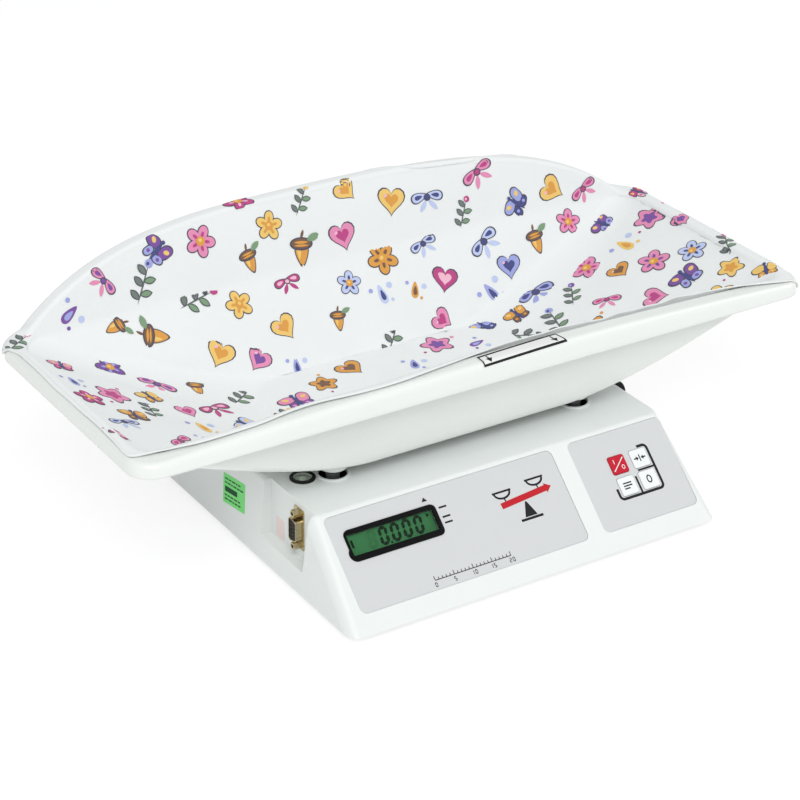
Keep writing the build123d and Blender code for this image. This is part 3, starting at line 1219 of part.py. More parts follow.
# ---------------------------------------------------------------- levelling feet
def foot_pad(place):
    """Rubber pad on the table, with the recess that the stud swivels in."""
    x, y = place
    pad = cylinder(x, y, 0, FOOT_PAD_HEIGHT, FOOT_PAD_RADIUS)
    pad = chamfer(edges_at(pad, 0), FOOT_PAD_EDGE)
    low = FOOT_PAD_HEIGHT - FOOT_SWIVEL_HEIGHT - FOOT_SWIVEL_GAP
    return pad - cylinder(x, y, low, FOOT_PAD_HEIGHT + OVERLAP, FOOT_SWIVEL_RADIUS + FOOT_SWIVEL_GAP)


def foot_stud(place):
    """Threaded stud with its notched finger disc and the button that swivels in the pad."""
    x, y = place
    low = FOOT_PAD_HEIGHT + FOOT_SWIVEL_GAP
    high = low + FOOT_DISC_HEIGHT
    disc = Circle(FOOT_DISC_RADIUS)
    notch = Pos(FOOT_DISC_RADIUS, 0) * Circle(FOOT_NOTCH_RADIUS)
    for i in range(FOOT_DISC_NOTCHES):
        disc = disc - Rot(0, 0, i * 360 / FOOT_DISC_NOTCHES) * notch
    stud = extrude(Pos(x, y, low) * disc, FOOT_DISC_HEIGHT)
    stud = stud + cylinder(x, y, low, high + FOOT_STUD_LENGTH, FOOT_STUD_RADIUS)
    return stud + cylinder(x, y, low - FOOT_SWIVEL_HEIGHT, high, FOOT_SWIVEL_RADIUS)


# ---------------------------------------------------------------- writing the nodes
def all_nodes():
    """Every node by its name."""
    nodes = {
        "upper_housing": upper_housing(),
        "base_pan": base_pan(),
        "pan_screws": pan_screws(),
        "display_overlay": display_overlay(),
        "keypad_overlay": keypad_overlay(),
        "lcd_bezel": lcd_bezel(),
        "lcd_lens": lcd_lens(),
        "lcd_panel": lcd_panel(),
        "display_board": console_board(
            BEZEL_CENTRE_X,
            DISPLAY_BOARD_UP,
            DISPLAY_BOARD_WIDTH,
            DISPLAY_BOARD_HEIGHT,
            DISPLAY_BOARD_TOP,
        ),
        "keypad_board": console_board(
            KEYS_CENTRE_X,
            KEYS_CENTRE_UP,
            KEYPAD_BOARD_WIDTH,
            KEYPAD_BOARD_HEIGHT,
            KEYPAD_BOARD_TOP,
        ),
        "board_screws": board_screws(),
        "key_switches": key_switches(),
        "load_cell": load_cell(),
        "cell_foot_spacer": cell_spacer(-CELL_SIDE, PAN_TOP + PAN_SEAT_RISE, CELL_BOTTOM, CELL_FOOT_SCREWS),
        "cell_foot_screws": cell_foot_screws(),
        "cell_head_spacer": cell_spacer(CELL_SIDE, CELL_TOP, SPIDER_BOTTOM, CELL_HEAD_SCREWS),
        "cell_head_screws": cell_head_screws(),
        "platform_spider": platform_spider(),
        "support_posts": support_posts(),
        "post_caps": post_caps(),
        "overload_stops": overload_stops(),
        "tray_shell": tray_shell(),
        "tray_liner": tray_liner(),
        "rim_label": rim_label(),
        "serial_shell": serial_shell(),
        "serial_insulator": serial_insulator(),
        "serial_contacts": serial_contacts(),
        "serial_jackscrews": serial_jackscrews(),
        "serial_label": serial_label(),
        "side_label": side_label(),
        "power_inlet": power_inlet(),
        "inlet_pin": inlet_pin(),
        "level_ring": level_ring(),
        "level_vial": level_vial(),
        "level_bubble": level_bubble(),
        "main_board": main_board(),
        "main_board_chips": main_board_chips(),
    }
    for name in KEYS:
        nodes["key_" + name] = key_cap(name)
        nodes["plunger_" + name] = key_plunger(name)
    for name, place in FEET.items():
        nodes["foot_pad_" + name] = foot_pad(place)
        nodes["foot_stud_" + name] = foot_stud(place)
    return nodes


OVERALL_DEPTH = back_line(TRAY_CREST) + back_bow(TRAY_CREST, ARCH_HALF) + TRAY_BACK_LEDGE

if __name__ == "__main__":
    os.makedirs("parts", exist_ok=True)
    for name, shape in all_nodes().items():
        placed = Pos(0, -OVERALL_DEPTH / 2, 0) * shape
        export_step(placed, "parts/" + name + ".step")
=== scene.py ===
"""Looks of a digital baby weighing scale: a wedge-fronted base and a curved tray with a printed liner.

Lengths in the classes are millimetres in the design frame: X to the right seen by the operator,
Y to the back from the front bottom edge of the base, Z up from the table. row_frame() turns them
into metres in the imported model's frame.
"""
import json
import logging
import math
from dataclasses import dataclass, field
from enum import Enum
from typing import Callable, Dict, Iterable, List, Optional, Sequence, Tuple

import bmesh
import bpy
import numpy as np
from mathutils import Matrix, Vector


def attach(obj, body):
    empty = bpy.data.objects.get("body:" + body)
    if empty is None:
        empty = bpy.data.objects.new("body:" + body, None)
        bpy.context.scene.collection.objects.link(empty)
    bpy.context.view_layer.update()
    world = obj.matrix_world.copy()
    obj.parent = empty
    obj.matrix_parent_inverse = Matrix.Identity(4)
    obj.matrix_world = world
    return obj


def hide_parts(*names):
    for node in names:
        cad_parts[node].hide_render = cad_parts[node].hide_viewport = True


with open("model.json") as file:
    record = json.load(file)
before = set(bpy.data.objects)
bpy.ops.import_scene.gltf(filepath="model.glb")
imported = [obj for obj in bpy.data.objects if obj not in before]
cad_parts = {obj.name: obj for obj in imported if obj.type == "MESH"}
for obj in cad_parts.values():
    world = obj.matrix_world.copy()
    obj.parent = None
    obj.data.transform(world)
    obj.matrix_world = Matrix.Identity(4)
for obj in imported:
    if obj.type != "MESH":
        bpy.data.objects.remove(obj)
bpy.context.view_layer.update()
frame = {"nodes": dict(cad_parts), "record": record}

log = logging.getLogger("baby_scale")

Colour = Tuple[float, float, float]
Array = np.ndarray

MILLIMETRE = 0.001
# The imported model's origin lies this far behind the front bottom edge of the base.
DEPTH_SHIFT = 154.40525
# The console's slope, as its rise over its run, and the height of its lower edge.
CONSOLE_ANGLE = math.atan2(58.0, 64.3)
CONSOLE_FOOT = 3.0
# The side walls: how far they lean in over their height, and half the base's width at their foot.
SIDE_LEAN = 7.0
SIDE_HEIGHT = 58.0
FOOT_HALF = 151.5
# Faces of the films and of the keys, square to the slope.
FILM_TOP = -0.4
KEY_TOP = 0.4
SIGN_TOP = KEY_TOP + 0.04
FILM_PRINT_TOP = FILM_TOP + 0.05
PRINT_BLACK: Colour = (0.02, 0.02, 0.022)


# ---------------- frames and meshes
def row_frame(points: Array) -> Array:
    """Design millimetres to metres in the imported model's frame.

    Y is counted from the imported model's origin, then all is scaled.

    Args:
        points: an array whose last axis is X, Y, Z in design millimetres.

    Returns:
        The same array in metres.
    """
    return (np.asarray(points, float) - np.array([0.0, DEPTH_SHIFT, 0.0])) * MILLIMETRE


def console_points(flat: Array, height: float) -> Array:
    """Points drawn on the sloping console, in design millimetres.

    Args:
        flat: (..., 2) array of X and distance up the slope.
        height: distance above the slope's face.

    Returns:
        (..., 3) array: X, then the distance up the slope laid along the slope's direction, plus
        the height along its normal.
    """
    flat = np.asarray(flat, float)
    cosine, sine = math.cos(CONSOLE_ANGLE), math.sin(CONSOLE_ANGLE)
    return np.stack(
        [
            flat[..., 0],
            flat[..., 1] * cosine - height * sine,
            CONSOLE_FOOT + flat[..., 1] * sine + height * cosine,
        ],
        axis=-1,
    )


def new_piece(name: str, points: Array, faces: Sequence, smooth: bool = True) -> bpy.types.Object:
    """A mesh object from design points.

    Args:
        name: the piece's name.
        points: (n, 3) array in design millimetres.
        faces: index tuples, or an (m, k) array.
        smooth: whether its faces are shaded smooth.

    Returns:
        The object, linked to the scene and sitting at the origin.
    """
    mesh = bpy.data.meshes.new(name)
    listed = faces.tolist() if isinstance(faces, np.ndarray) else [list(f) for f in faces]
    mesh.from_pydata(row_frame(points).reshape(-1, 3).tolist(), [], listed)
    mesh.polygons.foreach_set("use_smooth", [smooth] * len(mesh.polygons))
    mesh.update()
    piece = bpy.data.objects.new(name, mesh)
    bpy.context.scene.collection.objects.link(piece)
    return piece


def grid_faces(count_u: int, count_v: int, wrap_u: bool) -> Array:
    """Quads of a grid numbered u * count_v + v; they face the side that v cross u points to.

    Args:
        count_u: stations round.
        count_v: stations along the profile.
        wrap_u: whether the last station joins the first.

    Returns:
        (m, 4) array of indices.
    """
    u = np.arange(count_u if wrap_u else count_u - 1)
    v = np.arange(count_v - 1)
    a, b = np.meshgrid(u, v, indexing="ij")
    c = (a + 1) % count_u
    quads = np.stack([a * count_v + b, a * count_v + b + 1, c * count_v + b + 1, c * count_v + b], axis=-1)
    return quads.reshape(-1, 4)


def skin(name: str, grid: Array) -> bpy.types.Object:
    """A piece from a grid of design points that closes round u; the points at its poles become one.

    Args:
        name: the piece's name.
        grid: (u, v, 3) array; u runs round and v along the profile.

    Returns:
        The object.
    """
    piece = new_piece(name, grid.reshape(-1, 3), grid_faces(*grid.shape[:2], True))
    weld(piece)
    return piece


def weld(piece: bpy.types.Object, distance: float = 2e-6) -> None:
    """Merges a piece's coinciding points and drops the faces that vanish.

    Args:
        piece: the piece to mend.
        distance: how close two points count as one, in metres.
    """
    work = bmesh.new()
    work.from_mesh(piece.data)
    bmesh.ops.remove_doubles(work, verts=work.verts, dist=distance)
    bmesh.ops.dissolve_degenerate(work, edges=work.edges, dist=distance / 4)
    work.to_mesh(piece.data)
    work.free()
    piece.data.update()


def baked(piece: bpy.types.Object) -> bpy.types.Object:
    """Applies a piece's modifiers to its mesh.

    Args:
        piece: the piece with its modifiers.

    Returns:
        The same piece, with the result as its mesh.
    """
    graph = bpy.context.evaluated_depsgraph_get()
    graph.update()
    mesh = bpy.data.meshes.new_from_object(piece.evaluated_get(graph))
    piece.modifiers.clear()
    piece.data = mesh
    return piece


def grid_normals(grid: Array) -> Array:
    """Unit normals of a surface that closes round u.

    Each is the step along v crossed with the step along u; where both vanish it points up.

    Args:
        grid: (u, v, 3) array of design points.

    Returns:
        (u, v, 3) array of unit vectors.
    """
    along_v = np.gradient(grid, axis=1)
    along_u = np.roll(grid, -1, axis=0) - np.roll(grid, 1, axis=0)
    normal = np.cross(along_v, along_u)
    length = np.linalg.norm(normal, axis=-1, keepdims=True)
    flat = np.zeros_like(normal)
    flat[..., 2] = 1.0
    return np.where(length > 1e-9, normal / np.maximum(length, 1e-9), flat)


def smoothed(values: Array, reach: int) -> Array:
    """Evens out values round a closed line.

    Each value becomes a mean of its neighbours, weighed by a raised cosine.

    Args:
        values: one value for each station.
        reach: how many stations it looks to each side; the farthest has no weight.

    Returns:
        The evened values.
    """
    soft = np.hanning(2 * reach + 1)
    wrapped = np.concatenate([values[-reach:], values, values[:reach]])
    return np.convolve(wrapped, soft / soft.sum(), mode="valid")


# ---------------- finishes
class Grain(Enum):
    """How a surface's fine relief runs."""

    MOULDED = "moulded plastic"
    FILM = "printed film"
    BRUSHED = "brushed metal"
    TURNED = "turned or machined metal"
    RUBBER = "soft rubber"
    BOARD = "circuit board"
    PAPER = "paper label"
    POWDER = "powder coat"


GRAIN_SCALE: Dict[Grain, Tuple[float, Tuple[float, float, float]]] = {
    Grain.MOULDED: (1500.0, (1.0, 1.0, 1.0)),
    Grain.FILM: (2600.0, (1.0, 1.0, 1.0)),
    Grain.BRUSHED: (1400.0, (0.06, 1.0, 1.0)),
    Grain.TURNED: (1800.0, (1.0, 1.0, 0.25)),
    Grain.RUBBER: (1100.0, (1.0, 1.0, 1.0)),
    Grain.BOARD: (900.0, (1.0, 0.3, 1.0)),
    Grain.PAPER: (1700.0, (1.0, 1.0, 1.0)),
    Grain.POWDER: (2400.0, (1.0, 1.0, 1.0)),
}


class Graph:
    """A material's node tree with short calls to fill it."""

    def __init__(self, name: str) -> None:
        """Makes an empty material with its shader and output.

        Args:
            name: the material's name.
        """
        self.material = bpy.data.materials.new(name)
        self.material.use_nodes = True
        self.tree = self.material.node_tree
        self.tree.nodes.clear()
        self.output = self.node("OutputMaterial")
        self.shader = self.node("BsdfPrincipled")
        self.link(self.shader.outputs[0], self.output.inputs["Surface"])

    def node(self, kind: str, **values: object) -> bpy.types.Node:
        """Adds a shader node.

        Args:
            kind: its type, without the leading ShaderNode.
            values: properties to set.

        Returns:
            The node.
        """
        made = self.tree.nodes.new("ShaderNode" + kind)
        for key, value in values.items():
            setattr(made, key, value)
        return made

    def link(self, source: bpy.types.NodeSocket, target: bpy.types.NodeSocket) -> None:
        """Joins two sockets."""
        self.tree.links.new(source, target)

    def feed(self, target: bpy.types.NodeSocket, value: object) -> None:
        """Links a socket, or sets a plain value.

        Args:
            target: the socket to fill.
            value: a socket, a number or a vector.
        """
        if isinstance(value, bpy.types.NodeSocket):
            self.link(value, target)
        else:
            target.default_value = value

    def place(self, scale: Tuple[float, float, float] = (1, 1, 1), uv: str = "") -> bpy.types.NodeSocket:
        """Coordinates to read a texture at.

        Args:
            scale: factor on each axis.
            uv: a UV map's name; left empty, object coordinates are used.

        Returns:
            The vector socket.
        """
        if uv:
            source = self.node("UVMap", uv_map=uv).outputs[0]
        else:
            source = self.node("TexCoord").outputs["Object"]
        mapping = self.node("Mapping")
        mapping.inputs["Scale"].default_value = scale
        self.link(source, mapping.inputs["Vector"])
        return mapping.outputs[0]

    def noise(self, scale: float, detail: float, vector: bpy.types.NodeSocket) -> bpy.types.NodeSocket:
        """Noise between 0 and 1.

        Args:
            scale: how fine it is.
            detail: how many finer layers it has.
            vector: where it is read.

        Returns:
            The value's socket.
        """
        made = self.node("TexNoise")
        made.inputs["Scale"].default_value = scale
        made.inputs["Detail"].default_value = detail
        self.link(vector, made.inputs["Vector"])
        return made.outputs[0]

    def maths(self, operation: str, a: object, b: object = 0.0) -> bpy.types.NodeSocket:
        """One arithmetic step.

        Args:
            operation: the step's name in Blender.
            a: first socket or number.
            b: second one.

        Returns:
            The result's socket.
        """
        made = self.node("Math", operation=operation)
        self.feed(made.inputs[0], a)
        self.feed(made.inputs[1], b)
        return made.outputs[0]

    def mixed(self, share: object, a: object, b: object) -> bpy.types.NodeSocket:
        """Blends two colours.

        Args:
            share: 0 for the first, 1 for the second.
            a: first colour or socket.
            b: second one.

        Returns:
            The blend's socket.
        """
        made = self.node("Mix", data_type="RGBA")
        self.feed(made.inputs[0], share)
        self.feed(made.inputs[6], (*a, 1.0) if isinstance(a, tuple) else a)
        self.feed(made.inputs[7], (*b, 1.0) if isinstance(b, tuple) else b)
        return made.outputs[2]

    def spread(self, value: bpy.types.NodeSocket, low: float, high: float) -> bpy.types.NodeSocket:
        """Maps 0..1 to another range.

        Args:
            value: the socket to map.
            low: result at 0.
            high: result at 1.

        Returns:
            The result's socket.
        """
        made = self.node("MapRange")
        made.inputs["To Min"].default_value = low
        made.inputs["To Max"].default_value = high
        self.link(value, made.inputs["Value"])
        return made.outputs[0]

    def relief(self, height: bpy.types.NodeSocket, depth_mm: float, strength: float = 1.0) -> None:
        """Bumps the surface.

        Args:
            height: a socket of 0..1.
            depth_mm: how many millimetres the whole height stands for.
            strength: share of it that is applied.
        """
        made = self.node("Bump")
        made.inputs["Strength"].default_value = strength
        made.inputs["Distance"].default_value = depth_mm * MILLIMETRE
        self.link(height, made.inputs["Height"])
        self.link(made.outputs[0], self.shader.inputs["Normal"])

    def set(self, **values: object) -> None:
        """Sets the shader's own sockets; an underscore in a name stands for a space."""
        for key, value in values.items():
            self.shader.inputs[key.replace("_", " ")].default_value = value


def turned(flat: Array, angle: float, scale: float = 1.0) -> Array:
    """Turns flat points counter-clockwise about the origin.

    Args:
        flat: (..., 2) array.
        angle: in radians.
        scale: factor on their distance from it.

    Returns:
        The turned array.
    """
    c, s = math.cos(angle) * scale, math.sin(angle) * scale
    return flat @ np.array([[c, s], [-s, c]])


def tinted(colour: Colour, share: float) -> Colour:
    """The colour made lighter (share above 0) or darker (below 0)."""
    return tuple(min(1.0, max(0.0, c * (1.0 + share))) for c in colour)


@dataclass(frozen=True)
class Finish:
    """A solid material: its colour, its grain and how it shines."""

    name: str
    colour: Colour
    grain: Grain
    roughness: float
    metallic: float = 0.0
    coat: float = 0.0
    relief_mm: float = 0.02
    cloudiness: float = 0.02
    roughness_spread: float = 0.08
    gloss: float = 0.5

    def graph(self) -> Graph:
        """Fills a node tree: fine grain as relief and roughness, and a slow cloudy change of the colour.

        Returns:
            The tree.
        """
        made = Graph(self.name)
        scale, stretch = GRAIN_SCALE[self.grain]
        fine = made.noise(scale, 2.0, made.place(stretch))
        slow = made.noise(22.0, 3.0, made.place())
        made.link(
            made.mixed(slow, tinted(self.colour, -self.cloudiness), tinted(self.colour, self.cloudiness)),
            made.shader.inputs["Base Color"],
        )
        low, high = self.roughness - self.roughness_spread, self.roughness + self.roughness_spread
        made.link(made.spread(fine, max(low, 0.02), min(high, 1.0)), made.shader.inputs["Roughness"])
        made.relief(fine, self.relief_mm)
        made.set(Metallic=self.metallic, Coat_Weight=self.coat, Specular_IOR_Level=self.gloss)
        return made

    def material(self) -> bpy.types.Material:
        """The finished material."""
        return self.graph().material


@dataclass(frozen=True)
class HousingFinish:
    """Satin white outside; the inner faces of the base housing are painted near-black as painted shade, for
    the dark seen through the deck holes.
    """

    outside: Finish
    # Near-black painted shade for the inside of the housing, seen through the deck holes.
    paint: Colour = (0.012, 0.013, 0.014)
    skin_mm: float = 1.25
    corner_mm: float = 12.0
    corner_skin_mm: float = 1.5
    pocket_x_mm: float = -138.7
    half_width: float = FOOT_HALF
    deck: float = 61.0
    side_draft: float = SIDE_LEAN / SIDE_HEIGHT
    back_y: float = 284.0
    back_margin_mm: float = 4.0

    def material(self) -> bpy.types.Material:
        """Blends to the near-black painted shade where a point lies deeper than the skin under every outer
        face.

        Depth is the least distance in from the drafted sides, the deck, the slope and the back. Near the
        upright corners, where rounding brings the outer face in, the skin is taken thicker.

        Returns:
            The material.
        """
        made = self.outside.graph()
        split = made.node("SeparateXYZ")
        made.link(made.node("TexCoord").outputs["Object"], split.inputs[0])
        x, y, z = split.outputs
        foot, shift = CONSOLE_FOOT * MILLIMETRE, DEPTH_SHIFT * MILLIMETRE
        rise = made.maths("SUBTRACT", z, foot)
        lean = made.maths("MULTIPLY", rise, self.side_draft)
        wall = made.maths("SUBTRACT", self.half_width * MILLIMETRE, lean)
        side = made.maths("SUBTRACT", wall, made.maths("ABSOLUTE", x))
        deck = made.maths("SUBTRACT", self.deck * MILLIMETRE, z)
        back_mm = self.back_y - DEPTH_SHIFT - self.back_margin_mm
        back = made.maths("SUBTRACT", back_mm * MILLIMETRE, y)
        forward = made.maths("MULTIPLY", made.maths("ADD", y, shift), math.sin(CONSOLE_ANGLE))
        slope = made.maths("SUBTRACT", forward, made.maths("MULTIPLY", rise, math.cos(CONSOLE_ANGLE)))
        depth = made.maths("MINIMUM", made.maths("MINIMUM", side, deck), made.maths("MINIMUM", slope, back))
        near = made.maths("MAXIMUM", side, made.maths("MINIMUM", slope, back))
        corner = made.maths("LESS_THAN", near, self.corner_mm * MILLIMETRE)
        extra = made.maths("MULTIPLY", corner, self.corner_skin_mm * MILLIMETRE)
        inside = made.maths("GREATER_THAN", depth, made.maths("ADD", extra, self.skin_mm * MILLIMETRE))
        clear = made.maths("GREATER_THAN", x, self.pocket_x_mm * MILLIMETRE)
        # Painted shade: inner faces right of the side pocket take the near-black colour.
        shade_mask = made.maths("MULTIPLY", inside, clear)
        white = made.shader.inputs["Base Color"].links[0].from_socket
        made.link(made.mixed(shade_mask, white, self.paint), made.shader.inputs["Base Color"])
        return made.material


@dataclass(frozen=True)
class ClearFinish:
    """A clear window: mostly see-through, with a sharp reflection."""

    name: str
    colour: Colour
    cover: float
    roughness: float = 0.04

    def material(self) -> bpy.types.Material:
        """Thin clear plastic with faint wipe marks in its gloss.

        Returns:
            The material.
        """
        made = Graph(self.name)
        marks = made.noise(180.0, 4.0, made.place((1.0, 0.2, 1.0)))
        made.link(made.spread(marks, self.roughness, self.roughness * 2.5), made.shader.inputs["Roughness"])
        made.set(Base_Color=(*self.colour, 1.0), Alpha=self.cover, IOR=1.49)
        return made.material


# A wave texture at scale 1 repeats every 0.314 of its coordinate.
BAND_PERIOD = 0.314
BARE_COTTON: Colour = (0.88, 0.88, 0.90)
CLOTH_WHITE: Colour = (0.82, 0.845, 0.845)


@dataclass(frozen=True)
class ClothFinish:
    """Plain-woven cotton: crossing threads, soft sheen and a little fuzz."""

    name: str
    colour: Colour
    thread_mm: float = 0.62
    ink: str = ""
    wash: float = 0.07
    fuzz_scale: float = 900.0
    cloud_scale: float = 16.0
    sheen: float = 0.08
    gloss: float = 0.15

    def material(self) -> bpy.types.Material:
        """Weaves two crossing bands on the cloth's own UV map, in metres, under fuzz and print.

        Returns:
            The material.
        """
        made = Graph(self.name)
        place = made.place(uv="cloth")
        waves = []
        for direction in ("X", "Y"):
            band = made.node("TexWave", wave_type="BANDS", bands_direction=direction)
            band.inputs["Scale"].default_value = BAND_PERIOD / (self.thread_mm * MILLIMETRE)
            band.inputs["Distortion"].default_value = 0.6
            band.inputs["Detail"].default_value = 1.0
            made.link(place, band.inputs["Vector"])
            waves.append(band.outputs["Fac"])
        weave = made.maths("MULTIPLY", waves[0], waves[1])
        fuzz = made.noise(self.fuzz_scale, 3.0, place)
        slow = made.noise(self.cloud_scale, 2.0, place)
        if self.ink:
            dye = made.node("Attribute", attribute_name=self.ink).outputs["Color"]
            shade = made.mixed(made.spread(fuzz, 0.0, self.wash), dye, BARE_COTTON)
        else:
            shade = made.mixed(slow, tinted(self.colour, -0.02), tinted(self.colour, 0.015))
        thread = made.mixed(made.spread(weave, 0.06, 0.0), shade, tinted(self.colour, -0.45))
        made.link(thread, made.shader.inputs["Base Color"])
        made.link(made.spread(fuzz, 0.78, 0.95), made.shader.inputs["Roughness"])
        made.relief(made.maths("ADD", weave, made.maths("MULTIPLY", fuzz, 0.4)), 0.05, 0.6)
        made.set(Sheen_Weight=self.sheen, Sheen_Roughness=0.5, Specular_IOR_Level=self.gloss)
        return made.material


@dataclass(frozen=True)
class LiquidCrystalFinish:
    """The liquid crystal panel: green with a slow cloudy change and a faint streak."""

    name: str
    colour: Colour

    def material(self) -> bpy.types.Material:
        """Slow cloud and faint rubbing streaks over the green.

        Returns:
            The material.
        """
        made = Graph(self.name)
        streak = made.noise(240.0, 2.0, made.place((1.0, 0.05, 0.05)))
        slow = made.noise(30.0, 1.0, made.place())
        base = made.mixed(slow, tinted(self.colour, -0.12), tinted(self.colour, 0.16))
        shade = made.mixed(made.spread(streak, 0.0, 0.16), base, tinted(self.colour, 0.5))
        made.link(shade, made.shader.inputs["Base Color"])
        made.link(made.spread(streak, 0.25, 0.4), made.shader.inputs["Roughness"])
        made.relief(streak, 0.004)
        made.set(Specular_IOR_Level=0.12)
        return made.material


WHITE_ABS = Finish(
    "housing_white", (0.765, 0.795, 0.785), Grain.MOULDED, 0.42, relief_mm=0.012, cloudiness=0.012
)

SLOT_FINISHES: Tuple[object, ...] = (
    Finish("pan_grey", (0.58, 0.60, 0.59), Grain.MOULDED, 0.5),
    Finish(
        "overlay_grey", (0.605, 0.615, 0.625), Grain.FILM, 0.5, relief_mm=0.006, cloudiness=0.01, gloss=0.3
    ),
    Finish("bezel_black", (0.004, 0.0042, 0.0045), Grain.FILM, 0.3, relief_mm=0.004, gloss=0.08),
    ClearFinish("lens_clear", (0.02, 0.05, 0.03), 0.10),
    LiquidCrystalFinish("lcd_green", (0.046, 0.205, 0.072)),
    Finish("board_green", (0.02, 0.13, 0.05), Grain.BOARD, 0.35, coat=0.3),
    Finish("chip_black", (0.02, 0.02, 0.022), Grain.POWDER, 0.6, gloss=0.15),
    Finish("key_white", (0.80, 0.82, 0.83), Grain.MOULDED, 0.38, relief_mm=0.006),
    Finish("key_red", (0.52, 0.012, 0.03), Grain.MOULDED, 0.35, relief_mm=0.006, gloss=0.12),
    Finish("plunger_black", (0.02, 0.02, 0.02), Grain.MOULDED, 0.5, gloss=0.12),
    Finish("screw_steel", (0.55, 0.56, 0.58), Grain.TURNED, 0.3, metallic=1.0),
    Finish("cell_aluminium", (0.68, 0.69, 0.71), Grain.BRUSHED, 0.34, metallic=1.0),
    Finish("spider_black", (0.022, 0.022, 0.024), Grain.POWDER, 0.55, relief_mm=0.03, gloss=0.12),
    Finish("post_grey", (0.36, 0.38, 0.39), Grain.TURNED, 0.4, metallic=0.8),
    Finish("cap_rubber", (0.03, 0.03, 0.032), Grain.RUBBER, 0.75, relief_mm=0.03, gloss=0.12),
    Finish(
        "tray_white", (0.80, 0.825, 0.80), Grain.MOULDED, 0.30, coat=0.25, relief_mm=0.008, cloudiness=0.012
    ),
    ClothFinish("liner_fabric", CLOTH_WHITE),
    Finish("label_white", (0.80, 0.81, 0.80), Grain.PAPER, 0.5, coat=0.1, relief_mm=0.005),
    Finish("label_green", (0.19, 0.74, 0.20), Grain.PAPER, 0.45, coat=0.1, relief_mm=0.005, gloss=0.2),
    Finish("label_pink", (0.80, 0.66, 0.63), Grain.PAPER, 0.5, relief_mm=0.005),
    Finish("plated_steel", (0.50, 0.42, 0.25), Grain.BRUSHED, 0.26, metallic=1.0),
    Finish("contact_brass", (0.80, 0.55, 0.20), Grain.TURNED, 0.2, metallic=1.0),
    Finish("insulator_black", (0.018, 0.018, 0.02), Grain.MOULDED, 0.45, gloss=0.1),
    Finish("inlet_black", (0.018, 0.018, 0.02), Grain.MOULDED, 0.4, gloss=0.1),
    Finish("level_black", (0.015, 0.015, 0.016), Grain.MOULDED, 0.3, gloss=0.1),
    ClearFinish("level_clear", (0.80, 0.92, 0.78), 0.22),
    Finish("level_fluid", (0.86, 0.95, 0.83), Grain.FILM, 0.15, coat=0.5),
    Finish("pad_rubber", (0.02, 0.02, 0.02), Grain.RUBBER, 0.8, relief_mm=0.03, gloss=0.1),
)
FINISHES: Dict[str, object] = {finish.name: finish for finish in SLOT_FINISHES}
FINISHES[WHITE_ABS.name] = HousingFinish(WHITE_ABS)


class Palette:
    """Makes each finish's material once and hands it out."""

    def __init__(self) -> None:
        """Starts with nothing made."""
        self.made: Dict[str, bpy.types.Material] = {}

    def get(self, slot: str) -> bpy.types.Material:
        """Finds or makes the material of a slot.

        Args:
            slot: the record's material slot.

        Returns:
            The material.
        """
        if slot not in self.made:
            self.made[slot] = FINISHES[slot].material()
        return self.made[slot]

    def ink(self, name: str, colour: Colour, roughness: float = 0.45) -> bpy.types.Material:
        """Finds or makes a printed ink.

        Args:
            name: the ink's name.
            colour: its colour.
            roughness: how matt it is.

        Returns:
            The material.
        """
        if name not in self.made:
            ink = Finish(name, colour, Grain.FILM, roughness, relief_mm=0.004, cloudiness=0.04, gloss=0.08)
            self.made[name] = ink.material()
        return self.made[name]

    def dress(self, piece: bpy.types.Object, material: bpy.types.Material) -> None:
        """Gives a piece that one material."""
        piece.data.materials.clear()
        piece.data.materials.append(material)


PALETTE = Palette()


def mounted(
    piece: bpy.types.Object, body: str, slot: str, material: Optional[bpy.types.Material] = None
) -> bpy.types.Object:
    """Lets a piece ride on a body, names its slot and dresses it.

    Args:
        piece: the new piece.
        body: the CAD body that carries it.
        slot: the record's material slot.
        material: its material, or the slot's own when left out.

    Returns:
        The piece.
    """
    PALETTE.dress(piece, material or PALETTE.get(slot))
    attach(piece, body)
    log.info("%s on %s, %d faces", piece.name, body, len(piece.data.polygons))
    return piece


# ---------------- tray surface
@dataclass(frozen=True)
class Walk:
    """Stations round a rounded rectangle, counter-clockwise from the front left corner.

    Each straight or corner is a run of stations; a station keeps the shares from which its plan
    point follows for any half length, front, back and corner radius.
    """

    front: int = 150
    corner: int = 16
    side: int = 56
    back: int = 176

    def shares(self) -> Dict[str, Array]:
        """Shares from which each station's plan point follows.

        Returns:
            Arrays of one column over the stations: along, the place on a long side from -1 to 1; turn_x
            and turn_y, the corner's direction; ahead, 1 at the front and 0 at the back; rear and nose, 1
            on the back's and on the front's run with their corners.
        """
        quarter = math.pi / 2
        runs = []

        def straight(count: int) -> Array:
            """Even shares from 0 up to, but without, 1."""
            return np.arange(count) / count

        def bend(start: float) -> Array:
            """Angles of a quarter turn from a start."""
            return start + quarter * straight(self.corner)

        t = straight(self.front)
        runs.append((2 * t - 1, 0 * t, 0 * t - 1, 0 * t + 1, 0 * t, 0 * t + 1))
        a = bend(-quarter)
        runs.append((0 * a + 1, np.cos(a), np.sin(a), 0 * a + 1, 0 * a, 0 * a + 1))
        t = straight(self.side)
        runs.append((0 * t + 1, 0 * t + 1, 0 * t, 1 - t, 0 * t, 0 * t))
        a = bend(0.0)
        runs.append((0 * a + 1, np.cos(a), np.sin(a), 0 * a, 0 * a + 1, 0 * a))
        t = straight(self.back)
        runs.append((1 - 2 * t, 0 * t, 0 * t + 1, 0 * t, 0 * t + 1, 0 * t))
        a = bend(quarter)
        runs.append((0 * a - 1, np.cos(a), np.sin(a), 0 * a, 0 * a + 1, 0 * a))
        t = straight(self.side)
        runs.append((0 * t - 1, 0 * t - 1, 0 * t, t, 0 * t, 0 * t))
        a = bend(2 * quarter)
        runs.append((0 * a - 1, np.cos(a), np.sin(a), 0 * a + 1, 0 * a, 0 * a + 1))
        names = ("along", "turn_x", "turn_y", "ahead", "rear", "nose")
        return {name: np.concatenate([run[i] for run in runs])[:, None] for i, name in enumerate(names)}


